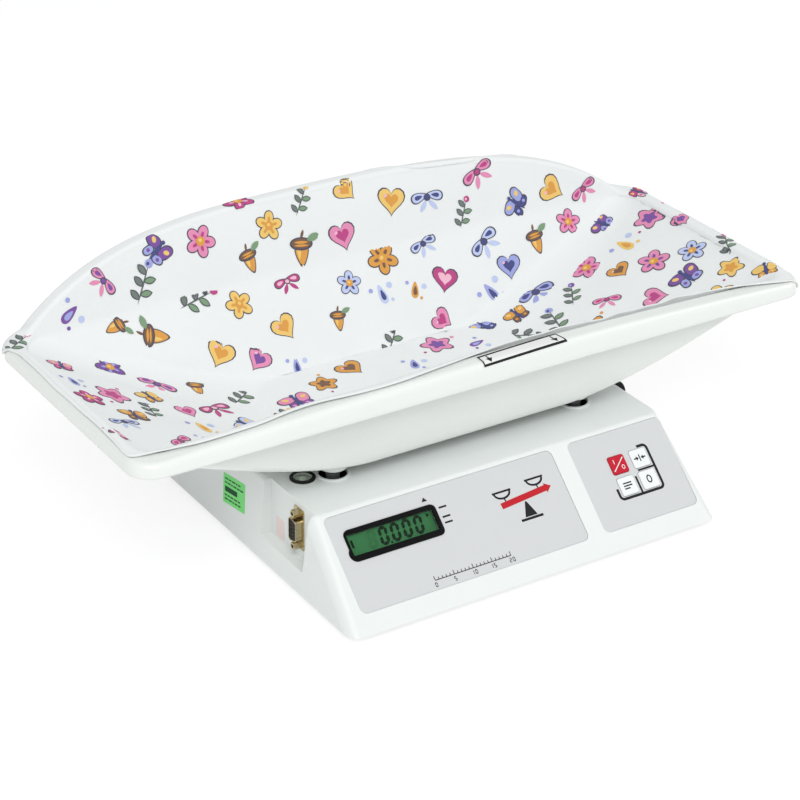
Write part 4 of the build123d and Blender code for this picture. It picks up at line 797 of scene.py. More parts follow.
@dataclass(frozen=True)
class Basin:
    """The tray's form: a rounded rectangle in plan whose size follows from the height."""

    floor: float = 71.1
    wall_top: float = 129.5
    rim: float = 136.0
    wall: float = 3.0
    half: float = 270.0
    front_y: float = 59.0
    corner: float = 18.0
    floor_half: float = 110.0
    floor_front: float = 94.3
    floor_back: float = 230.0
    floor_corner: float = 40.0
    end_ledge: float = 10.0
    front_ledge: float = 12.0
    back_ledge: float = 6.0
    end_power: float = 1.34
    front_power: float = 0.47
    back_power: float = 0.85
    back_growth: float = 34.4
    back_lean: float = 0.25
    bow_rate: float = 0.235
    least_bow: float = 0.3
    end_thinning: float = 0.3
    side_thinning: float = 0.9
    inner_half: float = 242.0
    arch_rise: float = 44.4
    arch_half: float = 252.0
    arch_power: int = 4
    arch_round: float = 0.93
    nose_rise: float = 6.5
    nose_half: float = 252.0
    skirt: float = 10.5
    skirt_wall: float = 2.6
    inner_round: float = 2.5
    outer_round: float = 4.5
    centre_y: float = 162.0
    walk: Walk = field(default_factory=Walk)

    def part(self, z: Array) -> Array:
        """Share of the way from the floor to the wall's top."""
        return np.clip((z - self.floor) / (self.wall_top - self.floor), 0.0, 1.0)

    def ring(self, z: Array, half: Array, front: Array, back: Array, bow: Array, corner: Array) -> Array:
        """Plan points at each station and height.

        X is the station's share of the straight half length plus the corner's; Y likewise between the
        front and back lines, and the back bows out by bow times one less (X / half) squared.

        Args:
            z: heights, one row for each.
            half: half the length.
            front: Y of the front line.
            back: Y of the back line.
            bow: how far the back's middle stands out.
            corner: corner radius.

        Returns:
            (stations, rows, 3) points.
        """
        s = self.walk.shares()
        x = s["along"] * (half - corner) + s["turn_x"] * corner
        y = s["ahead"] * (front + corner) + (1 - s["ahead"]) * (back - corner) + s["turn_y"] * corner
        y = y + s["rear"] * bow * (1 - np.clip(x / half, -1, 1) ** 2)
        return np.stack([x, y, z + 0 * x], axis=-1)

    def bowl(self, z: Array, wall: float) -> Array:
        """Points of the bowl's wall.

        With the share of the height, the half length grows as its 1 / 1.34th power, the front line moves
        out as its 0.47th and the back line as its 0.85th; the back's bow grows in step with the height.

        Args:
            z: heights.
            wall: 0 for the outer face, the wall's thickness for the inner.

        Returns:
            (stations, rows, 3) points.
        """
        low = z - wall
        share = self.part(low)
        growth = self.half - self.end_ledge - self.floor_half
        half = self.floor_half + growth * share ** (1 / self.end_power)
        top_front = self.front_y + self.front_ledge
        front = self.floor_front - (self.floor_front - top_front) * share**self.front_power
        back = self.floor_back + self.back_growth * share**self.back_power
        back = back + self.back_lean * np.maximum(low - self.wall_top, 0)
        bow = np.maximum(self.bow_rate * (low - self.floor), self.least_bow)
        bow = bow * np.minimum(half / self.arch_half, 1) ** 2
        corner = self.floor_corner + (self.corner - self.floor_corner) * share
        ends, sides = self.end_thinning * wall, self.side_thinning * wall
        return self.ring(z, half - ends, front + sides, back - sides, bow, corner)

    def arch(self, x: Array) -> Array:
        """Rise of the back's arch above the level rim at X."""
        share = np.minimum(np.abs(x) / self.arch_half, 1)
        return self.arch_rise * (1 - share**self.arch_power) ** self.arch_round

    def crest(self, x: Array) -> Array:
        """Height of the rim.

        The arch adds to it along the back and a flat parabola along the front.

        Args:
            x: X of each station.

        Returns:
            The heights.
        """
        s = self.walk.shares()
        nose = self.nose_rise * np.maximum(0, 1 - (x / self.nose_half) ** 2)
        return self.rim + s["rear"] * self.arch(x) + s["nose"] * nose

    def edges(self) -> Dict[str, Array]:
        """The rim's two lines.

        Returns:
            inner and outer, the points where the ledge begins and ends; crest_in and crest_out, the rim's
            height over them; width, the distance between them in plan.
        """
        s = self.walk.shares()
        inner_x = s["along"] * self.inner_half + s["turn_x"] * self.corner
        outer_x = s["along"] * (self.half - self.corner) + s["turn_x"] * self.corner
        crest_in, crest_out = self.crest(inner_x), self.crest(outer_x)
        inner = self.bowl(crest_in - self.inner_round, self.wall)
        z = crest_out
        back = self.floor_back + self.back_growth
        back = back + self.back_lean * np.maximum(z - self.wall_top, 0) + self.back_ledge
        bow = self.bow_rate * (z - self.floor)
        outer = self.ring(z, 0 * z + self.half, 0 * z + self.front_y, back, bow, 0 * z + self.corner)
        width = np.linalg.norm((outer - inner)[..., :2], axis=-1)
        return {"inner": inner, "outer": outer, "crest_in": crest_in, "crest_out": crest_out, "width": width}

    def rim_length(self) -> Array:
        """Length of the rounded ledge, from the wall's top to the skirt's top.

        Returns:
            One length for each station.
        """
        edge = self.edges()
        flat = edge["width"] - self.inner_round - self.outer_round
        return flat + (self.inner_round + self.outer_round) * math.pi / 2

    def over(self, run: Array) -> Array:
        """Points along the tray's skin, measured from the wall's top.

        Args:
            run: (stations, rows) distances: below 0 down the wall, above 0 round the inner edge, across
                the ledge, round the shoulder and down the skirt.

        Returns:
            (stations, rows, 3) points.
        """
        edge = self.edges()
        ri, ro, quarter = self.inner_round, self.outer_round, math.pi / 2
        level = edge["width"] - ri - ro
        first = np.clip(run / ri, 0, quarter)
        ledge = np.clip(run - ri * quarter, 0, level)
        second = np.clip((run - ri * quarter - level) / ro, 0, quarter)
        fall = np.maximum(run - ri * quarter - level - ro * quarter, 0)
        out = (ri * (1 - np.cos(first)) + ledge + ro * np.sin(second)) / edge["width"]
        drop = ri * (1 - np.sin(first)) + ro * (1 - np.cos(second)) + fall
        plan = edge["inner"][:, :1, :2] + (edge["outer"] - edge["inner"])[:, :1, :2] * out[..., None]
        z = edge["crest_in"] + (edge["crest_out"] - edge["crest_in"]) * out - drop
        top = np.concatenate([plan, z[..., None]], axis=-1)
        wall = self.bowl(edge["crest_in"] - ri + np.minimum(run, 0), self.wall)
        return np.where((run < 0)[..., None], wall, top)

    def floor_rings(self, z: float, wall: float, shares: Array) -> Array:
        """The flat floor: its outline shrunk towards the centre.

        Args:
            z: height.
            wall: as for the bowl.
            shares: share of the outline's size for each row.

        Returns:
            (stations, rows, 3) points.
        """
        outline = self.bowl(np.full((1, 1), z), wall)
        centre = np.array([0.0, self.centre_y, z])
        return centre + (outline - centre) * shares[None, :, None]


def rows(*parts: Array) -> Array:
    """Joins blocks of rows of one surface along the profile."""
    return np.concatenate(parts, axis=1)


@dataclass
class Tray:
    """The white tray: one closed skin of basin, rounded rim, skirt and underside, and its four sockets."""

    basin: Basin
    posts: Sequence[Tuple[float, float]] = ((-101, 108), (101, 108), (-101, 232), (101, 232))
    socket_bore: float = 8.2
    socket_wall: float = 2.0
    socket_depth: float = 4.0
    socket_points: int = 48
    wall_rows: int = 34
    rim_rows: int = 26

    def surface(self) -> Array:
        """One closed skin: inner floor, inner wall, rim, skirt, channel, outer wall and underside.

        Returns:
            (stations, rows, 3) points.
        """
        b = self.basin
        edge = b.edges()
        inner_floor = b.floor + b.wall
        steps = np.linspace(0, 1, self.wall_rows)[None, :] ** b.end_power
        wall = b.bowl(inner_floor + (edge["crest_in"] - b.inner_round - inner_floor) * steps[:, :-1], b.wall)
        rim = b.over(b.rim_length() * np.linspace(0, 1, self.rim_rows)[None, :])
        foot = b.rim - b.skirt + (edge["crest_out"] - b.rim) * b.walk.shares()["rear"]
        fall = edge["crest_out"] - b.outer_round - foot
        skirt = b.over(b.rim_length() + fall * np.array([[0.34, 0.67, 0.93]]))
        outward = (edge["outer"] - edge["inner"])[:, :, :2] / edge["width"][..., None]

        def under(back_mm: float, z: Array) -> Array:
            """One row that far in from the rim's outer line, at heights z."""
            plan = edge["outer"][:, :, :2] - outward * back_mm
            return np.concatenate([plan, z[..., None]], axis=-1)

        roof = edge["crest_out"] - b.skirt_wall - 1.0
        lip = rows(
            under(0.35, foot + 0.1),
            under(0.9, foot),
            under(b.skirt_wall - 0.5, foot),
            under(b.skirt_wall, foot + 0.5),
            under(b.skirt_wall, foot + (roof - foot) * 0.6),
            under(b.skirt_wall + 0.3, roof),
        )
        top = edge["crest_in"] - b.skirt_wall - 1.0
        fall_steps = np.linspace(1, 0, self.wall_rows)[None, :] ** b.end_power
        outer = b.bowl(b.floor + (top - b.floor) * fall_steps, 0.0)
        inside = b.floor_rings(inner_floor, b.wall, np.array([0.0, 0.5, 0.9, 0.99]))
        below = b.floor_rings(b.floor, 0.0, np.array([0.99, 0.9, 0.5, 0.0]))
        return rows(inside, wall, rim, skirt, lip, outer, below)

    def sockets(self) -> bpy.types.Object:
        """Four short tubes under the floor that drop over the rubber caps.

        Each is a chamfered profile carried round its post's axis.

        Returns:
            The piece.
        """
        b = self.basin
        inner, outer = self.socket_bore, self.socket_bore + self.socket_wall
        low, high = b.floor - self.socket_depth, b.floor + 0.4
        radius = np.array([inner, inner, inner + 0.3, outer - 0.3, outer, outer])
        height = np.array([high, low + 0.3, low, low, low + 0.3, high])
        count = self.socket_points
        turn = np.linspace(0, 2 * math.pi, count, endpoint=False)[:, None]
        grids = [
            np.stack([x + radius * np.cos(turn), y + radius * np.sin(turn), height + 0 * turn], axis=-1)
            for x, y in self.posts
        ]
        one = grid_faces(count, len(radius), True)[:, ::-1]
        faces = np.concatenate([one + i * count * len(radius) for i in range(len(grids))])
        return new_piece("tray_sockets", np.concatenate([g.reshape(-1, 3) for g in grids]), faces)

    def build(self) -> None:
        """Makes and dresses the tray."""
        shell = skin("tray_body", self.surface())
        mounted(shell, "tray", "tray_white")
        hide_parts("tray_shell")
        mounted(self.sockets(), "tray", "tray_white")


# ---------------- printed liner
class Motif(Enum):
    """What the liner's print repeats."""

    HEART = "heart"
    FLOWER = "flower"
    STAR = "star"
    BUTTERFLY = "butterfly"
    SPRIG = "sprig"
    BOW = "bow"
    DROPS = "drops"
    ACORN = "acorn"


INKS: Dict[str, Colour] = {
    "pink": (0.76, 0.24, 0.44),
    "magenta": (0.47, 0.025, 0.20),
    "rose": (0.85, 0.46, 0.58),
    "lavender": (0.32, 0.36, 0.72),
    "sky": (0.50, 0.58, 0.84),
    "amber": (0.70, 0.31, 0.03),
    "lemon": (0.84, 0.55, 0.13),
    "bark": (0.16, 0.07, 0.03),
    "sage": (0.13, 0.17, 0.14),
    "leaf": (0.17, 0.30, 0.16),
    "navy": (0.03, 0.04, 0.20),
    "violet": (0.17, 0.05, 0.32),
    "outline": (0.045, 0.04, 0.075),
}

Shape = Tuple[str, float, float, float, float, float, str]


def outline_of(kind: str, turn: Array) -> Array:
    """Unit outlines by the angle round their centre.

    round: a circle. heart: the sine-cubed heart curve. star: the radius swells and shrinks five times
    round. leaf: a circle whose height is drawn in towards both ends. drop: a circle pinched to a point at
    the top. wing: a circle with a lobe towards its upper corner.

    Args:
        kind: which outline.
        turn: angles in radians.

    Returns:
        (n, 2) points.
    """
    c, s = np.cos(turn), np.sin(turn)
    if kind == "heart":
        x = s**3
        y = (13 * c - 5 * np.cos(2 * turn) - 2 * np.cos(3 * turn) - np.cos(4 * turn)) / 15.0 + 0.1
        return np.stack([-x, y], axis=-1)
    if kind == "star":
        radius = 0.62 + 0.38 * np.abs(np.cos(2.5 * turn)) ** 1.6
        return np.stack([-radius * s, radius * c], axis=-1)
    if kind == "leaf":
        return np.stack([c, s * np.abs(s) ** 0.7], axis=-1)
    if kind == "drop":
        return np.stack([c * (1 - 0.45 * (s + 1) / 2) ** 1.6, s * 1.25], axis=-1)
    if kind == "wing":
        radius = 1 + 0.22 * np.cos(2 * (turn - 0.9))
        return np.stack([radius * c, radius * s], axis=-1)
    return np.stack([c, s], axis=-1)


def motif_shapes(motif: Motif, a: str, b: str) -> List[Shape]:
    """The shapes of one motif, lowest layer first.

    Args:
        motif: which motif.
        a: its main ink.
        b: its second ink.

    Returns:
        Tuples of outline, centre X, centre Y, half width, half height, turn in degrees, ink, in mm.
    """
    if motif is Motif.HEART:
        return [
            ("heart", 0, 0, 10.6, 10.2, 0, "outline"),
            ("heart", 0, 0, 9.9, 9.5, 0, a),
            ("heart", 0, 0.4, 5.4, 5.0, 0, b),
            ("round", -4.6, 3.6, 1.5, 1.0, 35, "rose"),
        ]
    if motif is Motif.FLOWER:
        petals = []
        for out, rx, ry, ink in ((7.0, 5.4, 4.3, "outline"), (7.0, 4.9, 3.8, a), (5.2, 2.4, 1.2, b)):
            for degrees in range(90, 450, 72):
                angle = math.radians(degrees)
                petals.append(("round", out * math.cos(angle), out * math.sin(angle), rx, ry, degrees, ink))
        return petals + [("round", 0, 0, 3.6, 3.6, 0, "amber"), ("round", -0.6, 0.7, 1.6, 1.4, 0, "lemon")]
    if motif is Motif.STAR:
        return [
            ("star", 0, 0, 12.6, 12.6, 8, "outline"),
            ("star", 0, 0, 11.6, 11.6, 8, a),
            ("star", 0, 0, 6.4, 6.4, 8, b),
            ("round", 14.5, 6.5, 1.5, 1.5, 0, a),
            ("round", -13.0, -8.5, 1.2, 1.2, 0, "magenta"),
        ]
    if motif is Motif.BUTTERFLY:
        wings = []
        for side in (-1, 1):
            wings.append(("wing", side * 6.6, 3.6, 6.6, 5.6, side * 32, "outline"))
            wings.append(("wing", side * 5.2, -5.2, 4.6, 4.2, side * -30, "outline"))
        for side in (-1, 1):
            wings.append(("wing", side * 6.6, 3.6, 5.9, 4.9, side * 32, a))
            wings.append(("wing", side * 5.2, -5.2, 3.9, 3.5, side * -30, b))
            wings.append(("round", side * 7.4, 4.4, 2.6, 1.9, side * 32, "lemon"))
            wings.append(("round", side * 5.4, -5.2, 1.5, 1.5, 0, a))
        return wings + [("leaf", 0, -0.6, 9.4, 1.7, 90, "navy"), ("round", 0, 8.4, 1.7, 1.7, 0, "navy")]
    if motif is Motif.SPRIG:
        leaves = [("leaf", 0, 0, 14.5, 0.7, 24, "sage")]
        for x, side in ((-8, 1), (-4, -1), (1, 1), (5, -1), (9, 1)):
            y = x * math.tan(math.radians(24)) + side * 3.9
            green = "sage" if side > 0 else "leaf"
            for rx, ry, ink in ((4.6, 2.4, "outline"), (4.1, 1.9, green)):
                leaves.append(("leaf", x + side * -1.2, y, rx, ry, 24 + side * 62, ink))
        return leaves + [("round", 14.6, 6.6, 3.1, 3.1, 0, a), ("round", 14.0, 7.2, 1.4, 1.2, 0, b)]
    if motif is Motif.BOW:
        loops = []
        for side in (-1, 1):
            loops.append(("leaf", side * 4.6, -6.0, 5.6, 2.1, side * -52, a))
        for side in (-1, 1):
            loops.append(("drop", side * 7.2, 1.6, 5.6, 6.0, side * 78, "outline"))
            loops.append(("drop", side * 7.2, 1.6, 4.9, 5.3, side * 78, a))
            loops.append(("drop", side * 7.8, 1.6, 2.5, 2.9, side * 78, b))
        return loops + [("round", 0, 0.8, 2.9, 2.6, 0, "outline"), ("round", 0, 0.8, 2.3, 2.0, 0, b)]
    if motif is Motif.ACORN:
        return [
            ("leaf", 1.2, 11.2, 3.4, 1.1, 70, "bark"),
            ("drop", 0, -2.6, 7.4, 7.0, 180, "outline"),
            ("drop", 0, -2.6, 6.6, 6.2, 180, "amber"),
            ("drop", -2.0, -2.0, 2.0, 3.2, 180, "lemon"),
            ("round", 0, 4.6, 8.6, 4.3, 0, "outline"),
            ("round", 0, 4.8, 7.7, 3.5, 0, "bark"),
            ("leaf", 0, 5.6, 5.4, 1.0, 0, "amber"),
            ("leaf", 0, 3.4, 5.8, 0.8, 0, "amber"),
            ("leaf", 9.6, 9.0, 5.4, 2.6, 24, "leaf"),
        ]
    return [
        ("drop", 0, 0, 5.2, 6.6, 0, a),
        ("drop", 0.2, -0.8, 2.9, 3.6, 0, b),
        ("round", 9.4, 4.6, 2.6, 2.6, 0, "sky"),
        ("round", -8.4, 6.0, 1.9, 1.9, 0, "lavender"),
        ("round", 6.8, -7.2, 1.5, 1.5, 0, a),
    ]


# The cloth's front edge seen from above, as X and Y: it lies out on the rim's ledge at the left, draws
# back to the ledge's inner line past the middle, and comes out again at the right corner.
FRONT_EDGE: Tuple[Tuple[float, float], ...] = (
    (-270, 73), (-262, 72), (-228, 64), (-181, 64.5), (-163, 68), (-137, 68), (-114, 65.5), (-77, 64),
    (-52, 66.5), (-13, 70.5), (15, 72), (60, 72.5), (90, 73), (120, 73), (159, 73), (207, 72.5),
    (240, 67), (262, 60), (270, 56),
)

# A run over the rim that stands for rows far inside it.
FAR_INSIDE = -99.0
# A motif is left out where the cloth rises or falls more than this within its reach.
MOST_RISE = 3.0
MOST_FALL = 8.0
# How close the points at the middle of a printed shape lie, in metres.
RING_CENTRE = 1e-7

# Pairs of a motif's main and second ink.
INK_PAIRS: Tuple[Tuple[str, str], ...] = (
    ("pink", "magenta"),
    ("lavender", "navy"),
    ("amber", "bark"),
    ("magenta", "rose"),
    ("violet", "lavender"),
    ("pink", "violet"),
    ("lemon", "amber"),
    ("sky", "navy"),
)


# Waves of the cloth over the wall: height, count round the tray, rate towards the edge and shift.
FOLD_WAVES: Tuple[Tuple[float, int, int, float], ...] = (
    (0.45, 9, 5, 0.0),
    (0.35, 17, -7, 1.2),
    (0.3, 5, 11, 2.0),
)


@dataclass(frozen=True)
class Wave:
    """A slow sine along the cloth's edge; its length is that of one radian."""

    height: float
    length: float
    shift: float = 0.0

    def at(self, place: Array) -> Array:
        """Its value at each place."""
        return self.height * np.sin(place / self.length + self.shift)


@dataclass
class Liner:
    """The cloth liner: laid in the tray, over its rim, with a sewn hem and a printed pattern.

    In front its edge follows FRONT_EDGE, set out by front_lead of the inner rounding. Behind it hangs
    back_hang down the skirt, and at the ends it stops left_short and right_short before the skirt.
    """

    basin: Basin
    lift: float = 1.15
    thickness: float = 0.6
    hem_width: float = 3.2
    hem_thickness: float = 0.3
    hem_rows: int = 7
    hem_lift: float = 0.10
    hem_bulge: float = 0.2
    stitch_pitch: float = 3.4
    stitch_length: float = 2.3
    stitch_half: float = 0.32
    stitch_height: float = 0.24
    stitch_lift: float = 0.06
    floor_shares: Tuple[float, ...] = (0, 0.08, 0.2, 0.34, 0.48, 0.62, 0.76, 0.88, 0.96)
    wall_rows: int = 46
    edge_rows: int = 34
    edge_band: float = 12.0
    front_lead: float = 0.57
    least_run: float = 1.2
    left_short: float = 6.3
    left_waves: Tuple[Wave, Wave] = (Wave(0.8, 23.0), Wave(0.25, 7.3, 1.0))
    right_short: float = 1.0
    right_wave: Wave = Wave(1.0, 16.0)
    back_hang: float = 3.0
    back_wave: Wave = Wave(0.6, 23.0)
    edge_reach: int = 7
    front_reach: int = 20
    bare_x: float = 112.0
    bare_half: float = 62.0
    fold_start: float = 0.25
    fold_rise: float = 0.5
    stand_off: float = 0.9
    edge_share: float = 0.16
    edge_hold: float = 0.85
    raised_x: float = 128.0
    raised_half: float = 78.0
    raised_hold: float = 0.8
    raised_waves: Tuple[Wave, Wave] = (Wave(0.5, 8.5), Wave(0.35, 4.3))
    left_end: float = 60.0
    left_rise: float = 0.2
    left_rise_wave: Wave = Wave(0.2, 13.0)
    roll_height: float = 1.6
    roll_place: float = 2.0
    roll_half: float = 6.0
    ease_rounds: int = 40
    spacing: float = 26.5
    margin: float = 12.5
    motif_reach: float = 14.0
    seed: int = 11
    ink_lift: float = 0.17
    layer_lift: float = 0.032
    outline_growth: float = 0.35
    flat: Tuple[float, float] = (0.66, 0.42)
    flat_area: float = 0.2200
    grid: Optional[Array] = None
    normals: Optional[Array] = None
    hem_grid: Optional[Array] = None
    hem_normals: Optional[Array] = None

    def edge_run(self) -> Array:
        """Where the cloth ends, as a distance over the rim from the wall's top.

        A bare stretch of the rim breaks the back's hang. Slow waves run along the back and the ends, and
        the joins are evened out.

        Returns:
            One distance for each station.
        """
        b = self.basin
        s = b.walk.shares()
        edge = b.edges()
        x = edge["outer"][:, :, 0]
        y = edge["outer"][:, :, 1]
        rim = b.rim_length()
        wanted = np.interp(x, *np.array(FRONT_EDGE, float).T)
        back_in = edge["inner"][:, :, 1] - wanted
        front = np.clip(back_in + self.front_lead * b.inner_round, self.least_run, None)
        slow, quick = self.left_waves
        left = rim - self.left_short + slow.at(y) + quick.at(y)
        right = rim - self.right_short + self.right_wave.at(y)
        ends = np.where(x > 0, right, left)
        bare = np.exp(-(((x - self.bare_x) / self.bare_half) ** 4))
        back = rim + self.back_hang + self.back_wave.at(x) - bare * (rim - self.least_run)
        nose, rear = s["nose"], s["rear"]
        run = nose * front + rear * back + (1 - nose - rear) * ends
        return smoothed(run[:, 0], self.edge_reach)[:, None]

    def folds(self, run_share: Array) -> Array:
        """How far the cloth stands off the tray.

        Three slow waves grow up the wall and settle near the edge, which stands up at the front right and
        a little at the front left.

        Args:
            run_share: (stations, rows) share of the way from the centre to the edge.

        Returns:
            Distances in mm.
        """
        b = self.basin
        s = b.walk.shares()
        edge = b.edges()
        x = edge["outer"][:, :, 0]
        turn = np.arange(len(x))[:, None] / len(x) * 2 * math.pi
        high = np.clip((run_share - self.fold_start) / self.fold_rise, 0, 1)
        waves = sum(
            height * np.sin(count * turn + rate * run_share + shift)
            for height, count, rate, shift in FOLD_WAVES
        )
        near_edge = np.exp(-(((1 - run_share) / self.edge_share) ** 2))
        front_right = s["nose"] * self.raised(x)
        slow, quick = self.raised_waves
        standing = front_right * near_edge * (self.stand_off + slow.at(x) + quick.at(x))
        left_rise = self.left_rise + self.left_rise_wave.at(x)
        front_left = s["nose"] * near_edge * (x < self.left_end) * left_rise
        settled = 1 - self.edge_hold * near_edge * (1 - front_right)
        return high * (self.stand_off + waves) * settled + standing + front_left

    def raised(self, x: Array) -> Array:
        """Near 1 where the edge stands up at the front right, falling smoothly to 0 on both sides."""
        return np.exp(-(((x - self.raised_x) / self.raised_half) ** 4))

    def surface(self) -> Array:
        """The cloth's upper face: the tray's skin lifted along its normals.

        The lift is the cloth's own, the folds' and, along the front, a soft roll over the inner edge,
        which falls off as a bell curve on both sides of it.

        Returns:
            (stations, rows, 3) points.
        """
        b = self.basin
        edge = b.edges()
        inner_floor = b.floor + b.wall
        floor = b.floor_rings(inner_floor, b.wall, np.array(self.floor_shares))
        low_top = edge["crest_in"] - b.inner_round - self.edge_band
        steps = np.linspace(0, 1, self.wall_rows)[None, :-1] ** b.end_power
        wall = b.bowl(inner_floor + (low_top - inner_floor) * steps, b.wall)
        band = self.edge_run() + self.edge_band
        over_edge = -self.edge_band + band * np.linspace(0, 1, self.edge_rows)[None, :]
        base = rows(floor, wall, b.over(over_edge))
        normals = grid_normals(base)
        normals[:, : len(self.floor_shares)] = (0, 0, 1)
        lengths = np.linalg.norm(np.diff(base, axis=1), axis=-1).cumsum(axis=1)
        run_share = np.concatenate([0 * lengths[:, :1], lengths], axis=1) / lengths[:, -1:]
        away = np.full((len(base), base.shape[1] - self.edge_rows), FAR_INSIDE)
        settled = 1 - self.raised_hold * self.raised(edge["outer"][:, :, 0])
        bell = np.exp(-(((rows(away, over_edge) - self.roll_place) / self.roll_half) ** 2))
        roll = self.roll_height * self.front_share() * settled * bell
        return self.relaxed(base + normals * (self.lift + self.folds(run_share) + roll)[..., None])

    def front_share(self) -> Array:
        """One along the front, falling smoothly to nought along the ends."""
        return smoothed(self.basin.walk.shares()["nose"][:, 0], self.front_reach)[:, None]

    def relaxed(self, grid: Array) -> Array:
        """Eases the bend over the front inner edge.

        The rows over the rim move again and again towards the middle of their neighbours.

        Args:
            grid: the cloth's points, which are changed in place.

        Returns:
            The same array.
        """
        top = grid[:, -self.edge_rows :]
        arch = np.sin(np.linspace(0, math.pi, self.edge_rows))[None, :] ** 0.5
        ease = 0.9 * (self.front_share() * arch)[:, 1:-1, None]
        for _ in range(self.ease_rounds):
            middle = 0.5 * (top[:, :-2] + top[:, 2:])
            top[:, 1:-1] += (middle - top[:, 1:-1]) * ease
        return grid

    def chart(self) -> Array:
        """Flat coordinates: the run from the floor's centre, laid out in the plan's direction.

        Returns:
            (stations, rows, 2) array in metres.
        """
        grid = self.grid
        step = np.linalg.norm(np.diff(grid, axis=1), axis=-1).cumsum(axis=1)
        run = np.concatenate([0 * step[:, :1], step], axis=1)
        way = grid[:, -1, :2] - np.array([0.0, self.basin.centre_y])
        way = way / np.linalg.norm(way, axis=-1, keepdims=True)
        return run[..., None] * way[:, None, :] * MILLIMETRE

    def cloth(self) -> bpy.types.Object:
        """The cloth itself, given its thickness downwards.

        Returns:
            The piece.
        """
        piece = new_piece("liner_cloth", self.grid.reshape(-1, 3), grid_faces(*self.grid.shape[:2], True))
        self.give_chart(piece, self.chart().reshape(-1, 2))
        weld(piece)
        solid = piece.modifiers.new("thickness", "SOLIDIFY")
        solid.thickness = self.thickness * MILLIMETRE
        solid.offset = -1.0
        solid.use_even_offset = False
        return baked(piece)

    def give_chart(self, piece: bpy.types.Object, flat: Array) -> None:
        """Writes flat coordinates as a piece's UV map.

        Args:
            piece: the piece.
            flat: (vertices, 2) array in metres.
        """
        layer = piece.data.uv_layers.new(name="cloth")
        corner = np.zeros(len(piece.data.loops), np.int32)
        piece.data.loops.foreach_get("vertex_index", corner)
        layer.data.foreach_set("uv", flat[corner].astype(np.float32).ravel())

    def hem(self) -> bpy.types.Object:
        """A folded strip along the cloth's edge.

        It stands off the cloth by the root of a sine across its width, so that it is rounded.

        Returns:
            The piece.
        """
        across = np.linspace(0, 1, self.hem_rows)[None, :]
        grid_top = self.sample_edge(self.edge_run() - self.hem_width * (1 - across))
        normals = grid_normals(grid_top)
        arch = np.sin(np.pi * np.clip(across * 0.96 + 0.02, 0, 1)) ** 0.5
        bulge = self.hem_lift + self.hem_bulge * arch
        grid = grid_top + normals * bulge[..., None]
        piece = new_piece("liner_hem", grid.reshape(-1, 3), grid_faces(*grid.shape[:2], True))
        self.give_chart(piece, grid.reshape(-1, 3)[:, :2] * MILLIMETRE)
        solid = piece.modifiers.new("thickness", "SOLIDIFY")
        solid.thickness = self.hem_thickness * MILLIMETRE
        solid.offset = -1.0
        self.hem_grid, self.hem_normals = grid, normals
        return baked(piece)

    def sample_edge(self, run: Array) -> Array:
        """Points on the cloth's upper face over the rim, weighed between its rows.

        Args:
            run: (stations, n) distances from the wall's top.

        Returns:
            (stations, n, 3) points.
        """
        top = self.grid[:, -self.edge_rows :]
        band = self.edge_run() + self.edge_band
        place = np.clip((run + self.edge_band) / band, 0, 1) * (self.edge_rows - 1)
        low = np.minimum(place.astype(int), self.edge_rows - 2)
        share = (place - low)[..., None]
        station = np.arange(len(top))[:, None]
        return top[station, low] * (1 - share) + top[station, low + 1] * share

    def stitches(self) -> bpy.types.Object:
        """A line of short raised stitches along the hem, one small arched patch each.

        Returns:
            The piece.
        """
        grid, normals = self.hem_grid, self.hem_normals
        line, up = grid[:, 1], normals[:, 1]
        across = grid[:, 2] - grid[:, 1]
        across = across / np.linalg.norm(across, axis=-1, keepdims=True)
        step = np.linalg.norm(np.roll(line, -1, axis=0) - line, axis=-1)
        run = np.concatenate([[0], step.cumsum()])
        count = int(run[-1] / self.stitch_pitch)
        starts = np.arange(count) * run[-1] / count
        along = (starts[:, None] + np.linspace(0, self.stitch_length, 4)[None, :]) % run[-1]
        closed = [np.concatenate([a, a[:1]]) for a in (line, up, across)]

        def at(values: Array) -> Array:
            """Values read along the closed line, at each stitch's points."""
            return np.stack([np.interp(along, run, values[:, i]) for i in range(3)], axis=-1)

        middle, rise, side = (at(v) for v in closed)
        low, high = 0.02, self.stitch_height
        hump = np.array([low, high, high, low])[None, :, None]
        width = np.array([-self.stitch_half, 0.0, self.stitch_half])
        crown = np.array([0.0, 1.0, 0.0])
        strands = [middle + side * w + rise * (self.stitch_lift + hump * c) for w, c in zip(width, crown)]
        points = np.stack(strands, axis=2)
        long, wide = len(hump[0]), len(width)
        faces = np.concatenate([grid_faces(long, wide, False) + i * long * wide for i in range(count)])
        piece = new_piece("liner_stitches", points.reshape(-1, 3), faces)
        self.give_chart(piece, points.reshape(-1, 3)[:, :2] * MILLIMETRE)
        return piece

